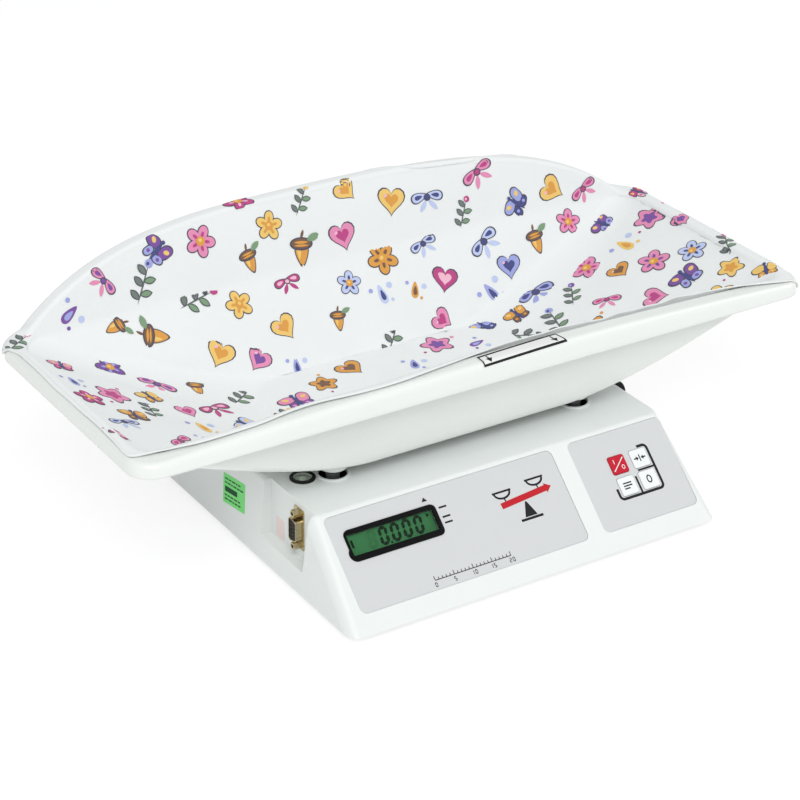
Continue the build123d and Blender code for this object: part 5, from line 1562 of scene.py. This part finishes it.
    def spots(self) -> List[Tuple[int, int]]:
        """Places for the motifs.

        Random darts, spread evenly by area, that keep their distance from each other and from the edge
        and lie where the cloth bends little.

        Returns:
            Station and row of each.
        """
        rng = np.random.default_rng(self.seed)
        grid = self.grid
        along = np.linalg.norm(np.diff(grid, axis=1), axis=-1)
        round_step = np.linalg.norm(np.roll(grid, -1, axis=0) - grid, axis=-1)
        area = (round_step[:, :-1] * along).ravel()
        left = along[:, ::-1].cumsum(axis=1)[:, ::-1]
        area = np.where(left.ravel() > self.margin, area, 0)
        darts = rng.choice(len(area), size=14000, p=area / area.sum())
        places = np.stack([darts // (grid.shape[1] - 1), darts % (grid.shape[1] - 1)], axis=-1)
        points = grid[places[:, 0], places[:, 1]]
        facing = self.normals[places[:, 0], places[:, 1]]
        coarse = grid[::2, ::2].reshape(-1, 3)
        chosen: List[int] = []
        for i in range(len(places)):
            if chosen and np.min(np.linalg.norm(points[chosen] - points[i], axis=-1)) < self.spacing:
                continue
            way = coarse - points[i]
            near = way[np.linalg.norm(way, axis=-1) < self.motif_reach] @ facing[i]
            if not len(near) or (near.max() < MOST_RISE and near.min() > -MOST_FALL):
                chosen.append(i)
        return [tuple(places[i]) for i in chosen]

    def ringed(self, shape: Shape) -> Array:
        """One printed shape in its motif's plane: its outline repeated as rings about its centre.

        Args:
            shape: the shape, as motif_shapes() gives it.

        Returns:
            (points round, rings, 2) array in mm.
        """
        kind, cx, cy, rx, ry, degrees, ink = shape
        wide = max(rx, ry)
        grow = self.outline_growth if ink == "outline" else 0.0
        turn = np.linspace(0, 2 * math.pi, 30 if kind == "star" else 16 + 8 * (wide > 3), endpoint=False)
        reach = np.linspace(0, 1, 3 + (wide > 4.5) + (wide > 9))
        flat = outline_of(kind, turn)[:, None, :] * reach[None, :, None] * (rx + grow, ry + grow)
        return turned(flat, math.radians(degrees)) + (cx, cy)

    def print_points(self) -> Tuple[Array, Array, Array, Array]:
        """The whole print, drawn in the cloth's tangent plane at each motif's place.

        A motif is turned and sized at random; its X runs level over the cloth.

        Returns:
            Points, faces, and for each point its layer and its ink.
        """
        rng = np.random.default_rng(self.seed + 1)
        kinds = list(Motif)
        blocks, layers, colours, faces = [], [], [], []
        placed = 0
        for u, v in self.spots():
            centre, normal = self.grid[u, v], self.normals[u, v]
            level = np.cross(normal, (0.0, -1.0, 0.25))
            level = level / np.linalg.norm(level)
            level = level if level[0] > 0 else -level
            upward = np.cross(normal, level)
            tilt = rng.normal(0, 0.5)
            zoom = rng.uniform(0.74, 1.08)
            kind = kinds[int(rng.integers(len(kinds)))]
            a, b = INK_PAIRS[int(rng.integers(len(INK_PAIRS)))]
            for layer, shape in enumerate(motif_shapes(kind, a, b)):
                flat = turned(self.ringed(shape), tilt, zoom)
                size = flat.shape[0] * flat.shape[1]
                blocks.append(centre + flat[..., :1] * level + flat[..., 1:] * upward)
                layers.append(np.full(size, layer))
                colours.append(np.tile((*INKS[shape[-1]], 1.0), (size, 1)))
                faces.append(grid_faces(*flat.shape[:2], True) + placed)
                placed += size
        log.info("%d printed shapes", len(blocks))
        points = np.concatenate([block.reshape(-1, 3) for block in blocks])
        return points, np.concatenate(faces), np.concatenate(layers), np.concatenate(colours)

    def pattern(self, cloth: bpy.types.Object) -> bpy.types.Object:
        """The print, laid on the cloth.

        Each point moves to the nearest one of the cloth and is raised along the normal, by a little more
        for each layer.

        Args:
            cloth: the piece that carries it.

        Returns:
            The piece.
        """
        drawn, faces, layers, colours = self.print_points()
        piece = new_piece("liner_print", drawn, faces)
        wrap = piece.modifiers.new("lay", "SHRINKWRAP")
        wrap.target = cloth
        wrap.wrap_method = "NEAREST_SURFACEPOINT"
        wrap.wrap_mode = "ON_SURFACE"
        baked(piece)
        mesh = piece.data
        points = np.zeros(len(mesh.vertices) * 3)
        mesh.vertices.foreach_get("co", points)
        normals = np.zeros(len(mesh.vertices) * 3)
        mesh.vertices.foreach_get("normal", normals)
        points, normals = points.reshape(-1, 3), normals.reshape(-1, 3)
        lift = (self.ink_lift + self.layer_lift * layers)[:, None] * MILLIMETRE
        mesh.vertices.foreach_set("co", (points + normals * lift).astype(np.float32).ravel())
        dye = mesh.color_attributes.new("ink", "FLOAT_COLOR", "POINT")
        dye.data.foreach_set("color", colours.astype(np.float32).ravel())
        self.give_chart(piece, points[:, :2].copy())
        weld(piece, RING_CENTRE)
        return piece

    def build(self) -> None:
        self.grid = self.surface()
        self.normals = grid_normals(self.grid)
        cloth = mounted(self.cloth(), "tray", "liner_fabric")
        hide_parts("tray_liner")
        hem = mounted(self.hem(), "tray", "liner_fabric")
        thread = mounted(self.stitches(), "tray", "liner_fabric")
        inked = ClothFinish("liner_print", CLOTH_WHITE, ink="ink").material()
        printed = mounted(self.pattern(cloth), "tray", "liner_fabric", inked)


# How far the label's paper and its ink stand off the rim.
PAPER_LIFT = 0.22
INK_LIFT = 0.3


@dataclass
class RimLabel:
    """White label laid over the front shoulder of the rim, with an outline and two arrows."""

    basin: Basin
    left: float = -13.0
    right: float = 57.0
    low_back: float = 1.3
    height: float = 12.0
    skew: float = 1.8
    widen: float = 0.15
    margin: float = 0.4
    side_line: float = 1.1
    long_line: float = 1.6
    arrow_inset: float = 7.0
    arrow_low: float = 2.4
    arrow_height: float = 3.8
    arrow_half: float = 2.7
    shaft: Tuple[float, float] = (5.0, 9.6)
    shaft_half: float = 0.55
    rows_up: int = 41

    def patch(self, x: Array, up: Array, lift: float) -> Array:
        """Points on the rim under the label.

        They are weighed between rows that run over the front shoulder. Towards the right end the label
        rises by the skew and widens by its share.

        Args:
            x: X.
            up: distance up from the label's lower edge.
            lift: distance off the rim.

        Returns:
            Points with X's shape and a last axis of 3.
        """
        b = self.basin
        s = b.walk.shares()
        front = np.nonzero((s["nose"][:, 0] > 0) & (np.abs(s["turn_y"][:, 0] + 1) < 1e-9))[0]
        station_x = b.edges()["outer"][front, 0, 0]
        start = b.rim_length() - self.low_back
        span = self.height * (1 + self.widen) + self.skew + 2.0
        ups = np.linspace(-1.0, span - 1.0, self.rows_up)
        strip = b.over(start - ups[None, :])[front]
        normals = -np.cross(np.gradient(strip, axis=1), np.gradient(strip, axis=0))
        normals = normals / np.linalg.norm(normals, axis=-1, keepdims=True)
        strip = strip + normals * lift
        along = np.interp(x, station_x, np.arange(len(front)))
        share = (np.asarray(x) - self.left) / (self.right - self.left)
        tilted = np.asarray(up) * (1 + self.widen * share) + self.skew * share
        rise = (tilted + 1.0) / span * (self.rows_up - 1)
        i = np.minimum(along.astype(int), len(front) - 2)
        j = np.minimum(rise.astype(int), self.rows_up - 2)
        f, g = (along - i)[..., None], (rise - j)[..., None]
        low = strip[i, j] * (1 - f) + strip[i + 1, j] * f
        high = strip[i, j + 1] * (1 - f) + strip[i + 1, j + 1] * f
        return low * (1 - g) + high * g

    def area(self, x0: float, x1: float, y0: float, y1: float, lift: float) -> Tuple[Array, Array]:
        """A rectangle of the label as a small grid.

        Args:
            x0: left X.
            x1: right X.
            y0: lower edge.
            y1: upper edge.
            lift: off the rim.

        Returns:
            Its points and faces.
        """
        across = np.linspace(x0, x1, max(2, int((x1 - x0) / 2) + 2))
        upward = np.linspace(y0, y1, max(2, int((y1 - y0) / 0.8) + 2))
        x, y = np.meshgrid(across, upward, indexing="ij")
        return self.patch(x, y, lift), grid_faces(*x.shape, False)[:, ::-1]

    def arrow_head(self, x: float) -> Tuple[Array, Array]:
        """A triangle that points down.

        Args:
            x: X of its tip.

        Returns:
            Its points and faces.
        """
        across, up = np.meshgrid(np.linspace(-1, 1, 5), np.linspace(0, 1, 6), indexing="ij")
        wide, high = across * self.arrow_half * up, self.arrow_low + self.arrow_height * up
        return self.patch(x + wide, high, INK_LIFT), grid_faces(*up.shape, False)[:, ::-1]

    def build(self) -> None:
        """Makes the paper, its printed frame and its arrows."""
        points, faces = self.area(self.left, self.right, 0, self.height, PAPER_LIFT)
        paper = new_piece("rim_label_paper", points.reshape(-1, 3), faces)
        mounted(paper, "tray", "label_white")
        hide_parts("rim_label")
        edge, line, tall = self.margin, self.side_line, self.long_line
        arrows = (self.left + self.arrow_inset, self.right - self.arrow_inset)
        boxes = [
            (self.left + edge, self.right - edge, edge, edge + tall),
            (self.left + edge, self.right - edge, self.height - edge - tall, self.height - edge),
            (self.left + edge, self.left + edge + line, edge, self.height - edge),
            (self.right - edge - line, self.right - edge, edge, self.height - edge),
        ]
        boxes += [(x - self.shaft_half, x + self.shaft_half, *self.shaft) for x in arrows]
        marks = [self.area(*box, INK_LIFT) for box in boxes] + [self.arrow_head(x) for x in arrows]
        blocks = [points.reshape(-1, 3) for points, _ in marks]
        starts = np.cumsum([0] + [len(block) for block in blocks])
        index = [faces + start for (_, faces), start in zip(marks, starts)]
        ink = new_piece("rim_label_ink", np.concatenate(blocks), np.concatenate(index))
        mounted(ink, "tray", "label_white", PALETTE.ink("ink_black", PRINT_BLACK))


# ---------------- flat art on the base
@dataclass
class FlatArt:
    """Flat printed shapes on one plane, gathered into one piece for each ink."""

    name: str
    body: str
    slot: str
    to_space: Callable[[Array], Array]
    shapes: Dict[str, List[Array]] = field(default_factory=dict)

    def add(self, ink: str, outline: Iterable[Sequence[float]]) -> None:
        """Adds a filled outline, counter-clockwise."""
        self.shapes.setdefault(ink, []).append(np.asarray(list(outline), float))

    def bar(self, ink: str, x0: float, x1: float, y0: float, y1: float) -> None:
        """Adds an upright rectangle."""
        self.add(ink, [(x0, y0), (x1, y0), (x1, y1), (x0, y1)])

    def stroke(self, ink: str, start: Tuple[float, float], end: Tuple[float, float], width: float) -> None:
        """Adds a straight line.

        Args:
            ink: its ink.
            start: one end.
            end: the other.
            width: its width.
        """
        a, b = np.array(start, float), np.array(end, float)
        way = (b - a) / np.linalg.norm(b - a)
        side = np.array([-way[1], way[0]]) * width / 2
        self.add(ink, [a - side, b - side, b + side, a + side])

    def hoop(
        self,
        ink: str,
        centre: Tuple[float, float],
        radii: Tuple[float, float],
        width: float,
        start: float = 0,
        end: float = 360,
    ) -> None:
        """Adds a ring or an arc as short quads between two ellipses.

        Args:
            ink: its ink.
            centre: its centre.
            radii: outer radii along X and up.
            width: its width.
            start: first angle in degrees.
            end: last angle.
        """
        turn = np.radians(np.linspace(start, end, 33))
        ray = np.stack([np.cos(turn), np.sin(turn)], axis=-1)
        outer = np.array(centre) + np.array(radii) * ray
        inner = np.array(centre) + (np.array(radii) - width) * ray
        quads = np.stack([inner[:-1], outer[:-1], outer[1:], inner[1:]], axis=1)
        self.shapes.setdefault(ink, []).extend(list(quads))

    def build(self, inks: Dict[str, bpy.types.Material]) -> List[bpy.types.Object]:
        """Makes one piece for each ink.

        Args:
            inks: material of each ink.

        Returns:
            The pieces.
        """
        pieces = []
        for ink, outlines in self.shapes.items():
            starts = np.cumsum([0] + [len(o) for o in outlines])
            faces = [list(range(starts[i], starts[i + 1])) for i in range(len(outlines))]
            points = self.to_space(np.concatenate(outlines))
            piece = new_piece(f"{self.name}_{ink}", points, faces, smooth=False)
            pieces.append(mounted(piece, self.body, self.slot, inks[ink]))
        return pieces


SEGMENTS: Dict[str, str] = {
    "0": "abcdef", "1": "bc", "2": "abged", "3": "abgcd", "4": "fgbc",
    "5": "afgcd", "6": "afgedc", "7": "abc", "8": "abcdefg", "9": "abcdfg",
}


@dataclass(frozen=True)
class DigitStyle:
    """Sizes of seven-segment digits; slant moves a point right by that share of its height."""

    width: float
    height: float
    pitch: float
    thick: float
    slant: float = 0.0
    gap_share: float = 0.03


def segment_outline(segment: str, style: DigitStyle) -> Array:
    """One bar of a seven-segment digit, as a hexagon.

    Args:
        segment: its letter, a to g.
        style: the digit's sizes.

    Returns:
        Corner points from the digit's lower left corner.
    """
    h, gap = style.thick / 2, style.thick * style.gap_share
    left, right, low, mid, high = h, style.width - h, h, style.height / 2, style.height - h
    if segment in "adg":
        y = {"a": high, "d": low, "g": mid}[segment]
        x0, x1 = left + gap, right - gap
        lower, upper = [(x0 + h, y - h), (x1 - h, y - h)], [(x1 - h, y + h), (x0 + h, y + h)]
        return np.array([(x0, y), *lower, (x1, y), *upper])
    x = left if segment in "ef" else right
    y0, y1 = (mid + gap, high - gap) if segment in "bf" else (low + gap, mid - gap)
    return np.array([(x, y0), (x + h, y0 + h), (x + h, y1 - h), (x, y1), (x - h, y1 - h), (x - h, y0 + h)])


def digit_outlines(text: str, x: float, y: float, style: DigitStyle) -> List[Array]:
    """The bars of all the digits of a number.

    Args:
        text: the digits.
        x: left edge.
        y: lower edge.
        style: their sizes.

    Returns:
        Outlines.
    """
    found = []
    for place, character in enumerate(text):
        for segment in SEGMENTS[character]:
            points = segment_outline(segment, style)
            points[:, 0] += points[:, 1] * style.slant + x + place * style.pitch
            points[:, 1] += y
            found.append(points)
    return found


@dataclass
class Display:
    """The reading on the liquid crystal panel, seen through the window.

    left_mark is an upright bar, as its left, right, lower and upper lines.
    """

    reading: str = "0000"
    digits_x: float = -102.2
    digits_up: float = 54.7
    style: DigitStyle = DigitStyle(7.0, 13.4, 9.2, 2.35, slant=0.10)
    point: float = 1.5
    point_x: float = 7.3
    left_mark: Tuple[float, float, float, float] = (-123.1, -121.3, 59.3, 64.9)
    stable_mark: Tuple[Tuple[float, float], ...] = ((-62.6, 64.4), (-60.0, 65.9), (-62.6, 67.4))
    print_height: float = -2.54

    def build(self) -> None:
        """Makes the dark segments with their point, the idle ones and two small marks."""
        art = FlatArt("reading", "base", "lcd_green", lambda p: console_points(p, self.print_height))
        x, up = self.digits_x, self.digits_up
        for points in digit_outlines(self.reading, x, up, self.style):
            art.add("dark", points)
        art.bar("dark", x + self.point_x, x + self.point_x + self.point, up, up + self.point)
        art.add("dark", self.stable_mark)
        for points in digit_outlines("8", x - self.style.pitch, up, self.style):
            art.add("idle", points)
        art.bar("dark", *self.left_mark)
        art.build({
            "dark": PALETTE.ink("segment_dark", (0.006, 0.014, 0.008), 0.3),
            "idle": PALETTE.ink("segment_idle", (0.043, 0.18, 0.064), 0.3),
        })


@dataclass
class Console:
    """Printing on the two films and on the keys.

    Places are X and the distance up the slope. The bracket's right, top, left and low lines are its
    outer ones. level_bar and upright_bar lack the line at which they meet the bracket: they are left,
    lower and upper, and left, right and upper. beam_head is the arrow's length and half its width.
    """

    key_x: Tuple[float, float] = (93.7, 112.3)
    key_up: Tuple[float, float] = (42.2, 58.6)
    bracket_right: float = 122.7
    bracket_top: float = 68.1
    bracket_left: float = 83.4
    bracket_low: float = 32.7
    bracket_line: float = 2.0
    bracket_round: float = 4.0
    bracket_start_x: float = 114.0
    bracket_end_up: float = 42.0
    level_bar: Tuple[float, float, float] = (107.0, 49.7, 51.1)
    upright_bar: Tuple[float, float, float] = (102.2, 103.8, 47.0)
    mark_x: Tuple[float, float] = (-52.6, -46.4)
    mark_ups: Tuple[float, ...] = (67.2, 60.3, 56.1)
    mark_low: float = 0.2
    mark_high: float = 1.1
    pointer: Tuple[Tuple[float, float], ...] = ((-62.8, 74.7), (-58.4, 74.7), (-60.6, 77.7))
    balance_place: Tuple[float, float] = (12.0, 57.0)
    balance_tilt: float = 5.0
    beam_half: float = 19.0
    beam_half_thick: float = 2.2
    beam_head: Tuple[float, float] = (5.0, 3.6)
    wedge_half: float = 5.0
    pan_inset: float = 5.0
    pan_over: float = 9.0
    pan_radii: Tuple[float, float] = (7.0, 5.0)
    rule_x: float = -77.0
    rule_up: float = 21.4
    rule_step: float = 3.05
    rule_style: DigitStyle = DigitStyle(1.9, 3.4, 2.7, 0.55)

    def films(self) -> None:
        """Prints the films: the keys' bracket, marks beside the display, a balance sign and a rule."""
        art = FlatArt("film_print", "base", "overlay_grey", lambda p: console_points(p, FILM_PRINT_TOP))
        self.bracket(art)
        for up in self.mark_ups:
            art.bar("black", *self.mark_x, up - self.mark_low, up + self.mark_high)
        art.add("black", self.pointer)
        self.balance(art)
        self.rule(art)
        art.build({
            "black": PALETTE.ink("ink_black", PRINT_BLACK),
            "red": PALETTE.ink("ink_red", (0.50, 0.02, 0.03)),
        })

    def bracket(self, art: FlatArt) -> None:
        """Prints a line with round corners round the keys and two bars between them.

        Args:
            art: where it is added.
        """
        left, right, low, top = self.bracket_left, self.bracket_right, self.bracket_low, self.bracket_top
        w, r = self.bracket_line, self.bracket_round
        art.bar("black", self.bracket_start_x, right - r, top - w, top)
        art.hoop("black", (right - r, top - r), (r, r), w, 0, 90)
        art.bar("black", right - w, right, low + r, top - r)
        art.hoop("black", (right - r, low + r), (r, r), w, 270, 360)
        art.bar("black", left + r, right - r, low, low + w)
        art.hoop("black", (left + r, low + r), (r, r), w, 180, 270)
        art.bar("black", left, left + w, low + r, self.bracket_end_up)
        bar_left, bar_low, bar_top = self.level_bar
        art.bar("black", bar_left, right - w, bar_low, bar_top)
        bar_left, bar_right, bar_top = self.upright_bar
        art.bar("black", bar_left, bar_right, low + w, bar_top)

    def balance(self, art: FlatArt) -> None:
        """Prints a plain balance sign: a tilted red beam on a black wedge, with two shallow pans.

        Args:
            art: where it is added.
        """
        middle, up = self.balance_place
        tilt = math.radians(self.balance_tilt)
        way = np.array([math.cos(tilt), math.sin(tilt)])
        side = np.array([-way[1], way[0]])
        left = np.array([middle, up]) - way * self.beam_half
        right = np.array([middle, up]) + way * self.beam_half
        thick = side * self.beam_half_thick
        art.add("red", [left - thick, right - thick, right + thick, left + thick])
        head_long, head_half = self.beam_head
        art.add("red", [right - side * head_half, right + way * head_long, right + side * head_half])
        wedge_low, wedge_top = up - 14.0, up - 3.2
        foot = [(middle - self.wedge_half, wedge_low), (middle + self.wedge_half, wedge_low)]
        art.add("black", foot + [(middle + 0.6, wedge_top), (middle - 0.6, wedge_top)])
        art.bar("black", middle - 9.0, middle + 9.0, up - 16.4, up - 14.6)
        for centre in (left + way * self.pan_inset, right - way * self.pan_inset):
            x, y = centre + side * self.pan_over
            art.hoop("black", (x, y), self.pan_radii, 1.5, 180, 360)
            art.bar("black", x - 7.6, x + 7.6, y - 0.2, y + 1.2)
            art.stroke("black", (x, y - 4.6), tuple(centre + thick), 1.0)

    def rule(self, art: FlatArt) -> None:
        """Prints a graduated line from 0 to 20 with a number at each fifth mark.

        Args:
            art: where it is added.
        """
        x0, up, step = self.rule_x, self.rule_up, self.rule_step
        art.bar("black", x0, x0 + 20 * step, up - 0.3, up + 0.3)
        for i in range(21):
            tall = 3.0 if i % 5 == 0 else 1.8
            art.bar("black", x0 + i * step - 0.28, x0 + i * step + 0.28, up, up + tall)
        for number in range(0, 25, 5):
            text = str(number)
            x = x0 + number * step - 1.25 * len(text)
            for points in digit_outlines(text, x, up - 4.8, self.rule_style):
                art.add("black", points)

    def key_signs(self) -> None:
        """Prints a sign on each key, which moves with it."""
        inks = {
            "pale": PALETTE.ink("ink_pale", (0.82, 0.80, 0.80)),
            "grey": PALETTE.ink("ink_grey", (0.03, 0.03, 0.033)),
        }
        (left, right), (low, high) = self.key_x, self.key_up
        signs = (
            ("power", self.power_sign, left, high),
            ("tare", self.tare_sign, right, high),
            ("print", self.print_sign, left, low),
            ("zero", self.zero_sign, right, low),
        )
        for key, sign, x, up in signs:
            art = FlatArt("sign_" + key, key + "_key", "key_white", lambda p: console_points(p, SIGN_TOP))
            sign(art, x, up)
            art.build(inks)

    def power_sign(self, art: FlatArt, x: float, up: float) -> None:
        """Adds a slanting line between an upright bar and a ring.

        Args:
            art: the key's art.
            x: X of the key's centre.
            up: its distance up the slope.
        """
        art.stroke("pale", (x - 5.4, up - 4.4), (x + 5.4, up + 4.4), 0.7)
        art.bar("pale", x - 3.3, x - 2.7, up + 0.9, up + 4.1)
        art.hoop("pale", (x + 3.0, up - 2.6), (1.3, 1.7), 0.5)

    def tare_sign(self, art: FlatArt, x: float, up: float) -> None:
        """Adds two arrows that meet at an upright bar.

        Args:
            art: the key's art.
            x: X of the key's centre.
            up: its distance up the slope.
        """
        for side in (-1, 1):
            art.bar("grey", *sorted((x + side * 1.8, x + side * 5.0)), up - 0.5, up + 0.5)
            head = [(x + side * 0.9, up), (x + side * 3.0, up - 1.7), (x + side * 3.0, up + 1.7)]
            art.add("grey", head if side < 0 else head[::-1])
        art.bar("grey", x - 0.45, x + 0.45, up - 2.6, up + 2.6)

    def print_sign(self, art: FlatArt, x: float, up: float) -> None:
        """Adds three lines, the last one shorter."""
        for i, width in enumerate((3.4, 3.4, 2.2)):
            art.bar("grey", x - 3.6, x - 3.6 + 2.1 * width, up + 1.5 - i * 2.0, up + 2.5 - i * 2.0)

    def zero_sign(self, art: FlatArt, x: float, up: float) -> None:
        """Adds a ring."""
        art.hoop("grey", (x, up), (2.2, 3.1), 1.0)

    def build(self) -> None:
        """Makes all the printing."""
        self.films()
        self.key_signs()


@dataclass
class SideLabel:
    """Plain print on the green label of the left wall."""

    centre_y: float = 162.0
    centre_z: float = 33.0
    draft: float = math.atan2(SIDE_LEAN, SIDE_HEIGHT)
    turn: float = 7.5
    stand_off: float = 0.26
    row_start: float = -12.6
    row_end: float = 9.0

    def to_space(self, flat: Array) -> Array:
        """Lays flat points on the left wall, just outside the label.

        Args:
            flat: (n, 2) array from the label's centre, towards the front and up; it is turned askew.

        Returns:
            (n, 3) design points.
        """
        flat = turned(np.asarray(flat, float), math.radians(self.turn))
        wall_x = -FOOT_HALF + (self.centre_z - CONSOLE_FOOT) * math.tan(self.draft)
        out = self.stand_off
        x = wall_x + flat[:, 1] * math.sin(self.draft) - out * math.cos(self.draft)
        z = self.centre_z + flat[:, 1] * math.cos(self.draft) + out * math.sin(self.draft)
        return np.stack([x, self.centre_y - flat[:, 0], z], axis=-1)

    def build(self) -> None:
        """Prints four rows of short bars and a block between them."""
        art = FlatArt("side_label_print", "base", "label_green", self.to_space)
        rng = np.random.default_rng(4)
        for up in (6.8, 3.9, -5.2, -8.0):
            x = self.row_start
            while x < self.row_end:
                width = float(rng.uniform(1.6, 4.6))
                art.bar("dark", x, min(x + width, -self.row_start), up, up + 1.1)
                x += width + 1.0
        art.bar("dark", -12.4, 4.6, -2.0, 1.8)
        art.build({"dark": PALETTE.ink("ink_dark_green", (0.01, 0.07, 0.025))})


# ---------------- carried-over pieces
@dataclass
class Hardware:
    """Gives every CAD node that stays its own procedural finish."""

    record: Dict

    def build(self) -> None:
        """Dresses the nodes by their material slot."""
        for row in self.record["subparts"]:
            node = frame["nodes"][row["node"]]
            PALETTE.dress(node, PALETTE.get(row["material_slot"]))
            log.info("%s dressed in %s", row["node"], row["material_slot"])


# ---------------- studio
@dataclass
class Studio:
    """Pale floor, soft lamps and the camera."""

    azimuth: float = -32.91
    elevation: float = 27.81
    roll: float = 0.86
    lens: float = 107.63
    place: Tuple[float, float, float] = (-0.8298, -1.2551, 0.8621)
    world_colour: Colour = (0.985, 1.0, 0.995)
    world_strength: float = 0.62
    floor_size: float = 12.0
    floor_glow: float = 1.09
    glow_share: float = 0.7
    key_place: Tuple[float, float, float] = (-1.3, -1.9, 2.3)
    key_size: float = 1.5
    key_power: float = 46.0
    fill_place: Tuple[float, float, float] = (2.2, -0.9, 1.7)
    fill_size: float = 1.6
    fill_power: float = 16.0

    def camera(self) -> None:
        """The camera, looking down from the front left."""
        a, e, r = (math.radians(v) for v in (self.azimuth, self.elevation, self.roll))
        back = np.array([math.sin(a) * math.cos(e), -math.cos(a) * math.cos(e), math.sin(e)])
        side = np.cross([0, 0, 1], back)
        side = side / np.linalg.norm(side)
        up = np.cross(back, side)
        x = math.cos(r) * side + math.sin(r) * up
        y = -math.sin(r) * side + math.cos(r) * up
        data = bpy.data.cameras.new("camera")
        data.lens = self.lens
        data.sensor_width = 36.0
        data.clip_end = 20.0
        camera = bpy.data.objects.new("camera", data)
        columns = np.column_stack([x, y, back, self.place])
        camera.matrix_world = Matrix([*columns.tolist(), (0, 0, 0, 1)])
        bpy.context.scene.collection.objects.link(camera)
        bpy.context.scene.camera = camera

    def lamp(self, name: str, place: Sequence[float], size: float, power: float) -> None:
        """A square area lamp aimed at the scale.

        Args:
            name: its name.
            place: where it hangs, in metres.
            size: its side.
            power: watts.
        """
        data = bpy.data.lights.new(name, "AREA")
        data.size = size
        data.energy = power
        lamp = bpy.data.objects.new(name, data)
        lamp.location = place
        aim = Vector((0.0, 0.0, 0.08)) - Vector(place)
        lamp.rotation_euler = aim.to_track_quat("-Z", "Y").to_euler()
        bpy.context.scene.collection.objects.link(lamp)

    def floor(self) -> None:
        """A large pale floor that reads as white and keeps the soft shadow."""
        bpy.ops.mesh.primitive_plane_add(size=self.floor_size, location=(0, 0, -0.0002))
        floor = bpy.context.object
        floor.name = "studio_floor"
        made = Graph("studio_floor")
        made.set(Base_Color=(0.94, 0.94, 0.94, 1.0), Roughness=0.9)
        rays = made.node("LightPath")
        seen = made.maths("MAXIMUM", rays.outputs["Is Camera Ray"], rays.outputs["Is Glossy Ray"])
        seen = made.maths("MAXIMUM", seen, rays.outputs["Is Transmission Ray"])
        glow = made.node("Emission")
        glow.inputs["Color"].default_value = (1, 1, 1, 1)
        glow.inputs["Strength"].default_value = self.floor_glow
        blend = made.node("MixShader")
        made.link(made.maths("MULTIPLY", seen, self.glow_share), blend.inputs[0])
        made.link(made.shader.outputs[0], blend.inputs[1])
        made.link(glow.outputs[0], blend.inputs[2])
        made.link(blend.outputs[0], made.output.inputs["Surface"])
        PALETTE.dress(floor, made.material)

    def world(self) -> None:
        """An even white surround: full white to the eye, gentler as light."""
        world = bpy.data.worlds.new("studio_world")
        world.use_nodes = True
        tree = world.node_tree
        tree.nodes.clear()
        out = tree.nodes.new("ShaderNodeOutputWorld")
        light = tree.nodes.new("ShaderNodeBackground")
        light.inputs["Color"].default_value = (*self.world_colour, 1)
        light.inputs["Strength"].default_value = self.world_strength
        seen = tree.nodes.new("ShaderNodeBackground")
        seen.inputs["Color"].default_value = (1, 1, 1, 1)
        rays = tree.nodes.new("ShaderNodeLightPath")
        blend = tree.nodes.new("ShaderNodeMixShader")
        tree.links.new(rays.outputs["Is Camera Ray"], blend.inputs[0])
        tree.links.new(light.outputs[0], blend.inputs[1])
        tree.links.new(seen.outputs[0], blend.inputs[2])
        tree.links.new(blend.outputs[0], out.inputs[0])
        bpy.context.scene.world = world

    def build(self) -> None:
        """Sets the whole studio."""
        bpy.context.scene.view_settings.view_transform = "Standard"
        self.world()
        self.floor()
        self.lamp("key_lamp", self.key_place, self.key_size, self.key_power)
        self.lamp("fill_lamp", self.fill_place, self.fill_size, self.fill_power)
        self.camera()
        log.info("studio ready")


def main() -> None:
    """Builds the scale piece by piece."""
    logging.basicConfig(level=logging.INFO, format="%(name)s: %(message)s")
    basin = Basin()
    Studio().build()
    Hardware(frame["record"]).build()
    Tray(basin).build()
    Liner(basin).build()
    RimLabel(basin).build()
    Display().build()
    Console().build()
    SideLabel().build()


if __name__ == "__main__":
    main()
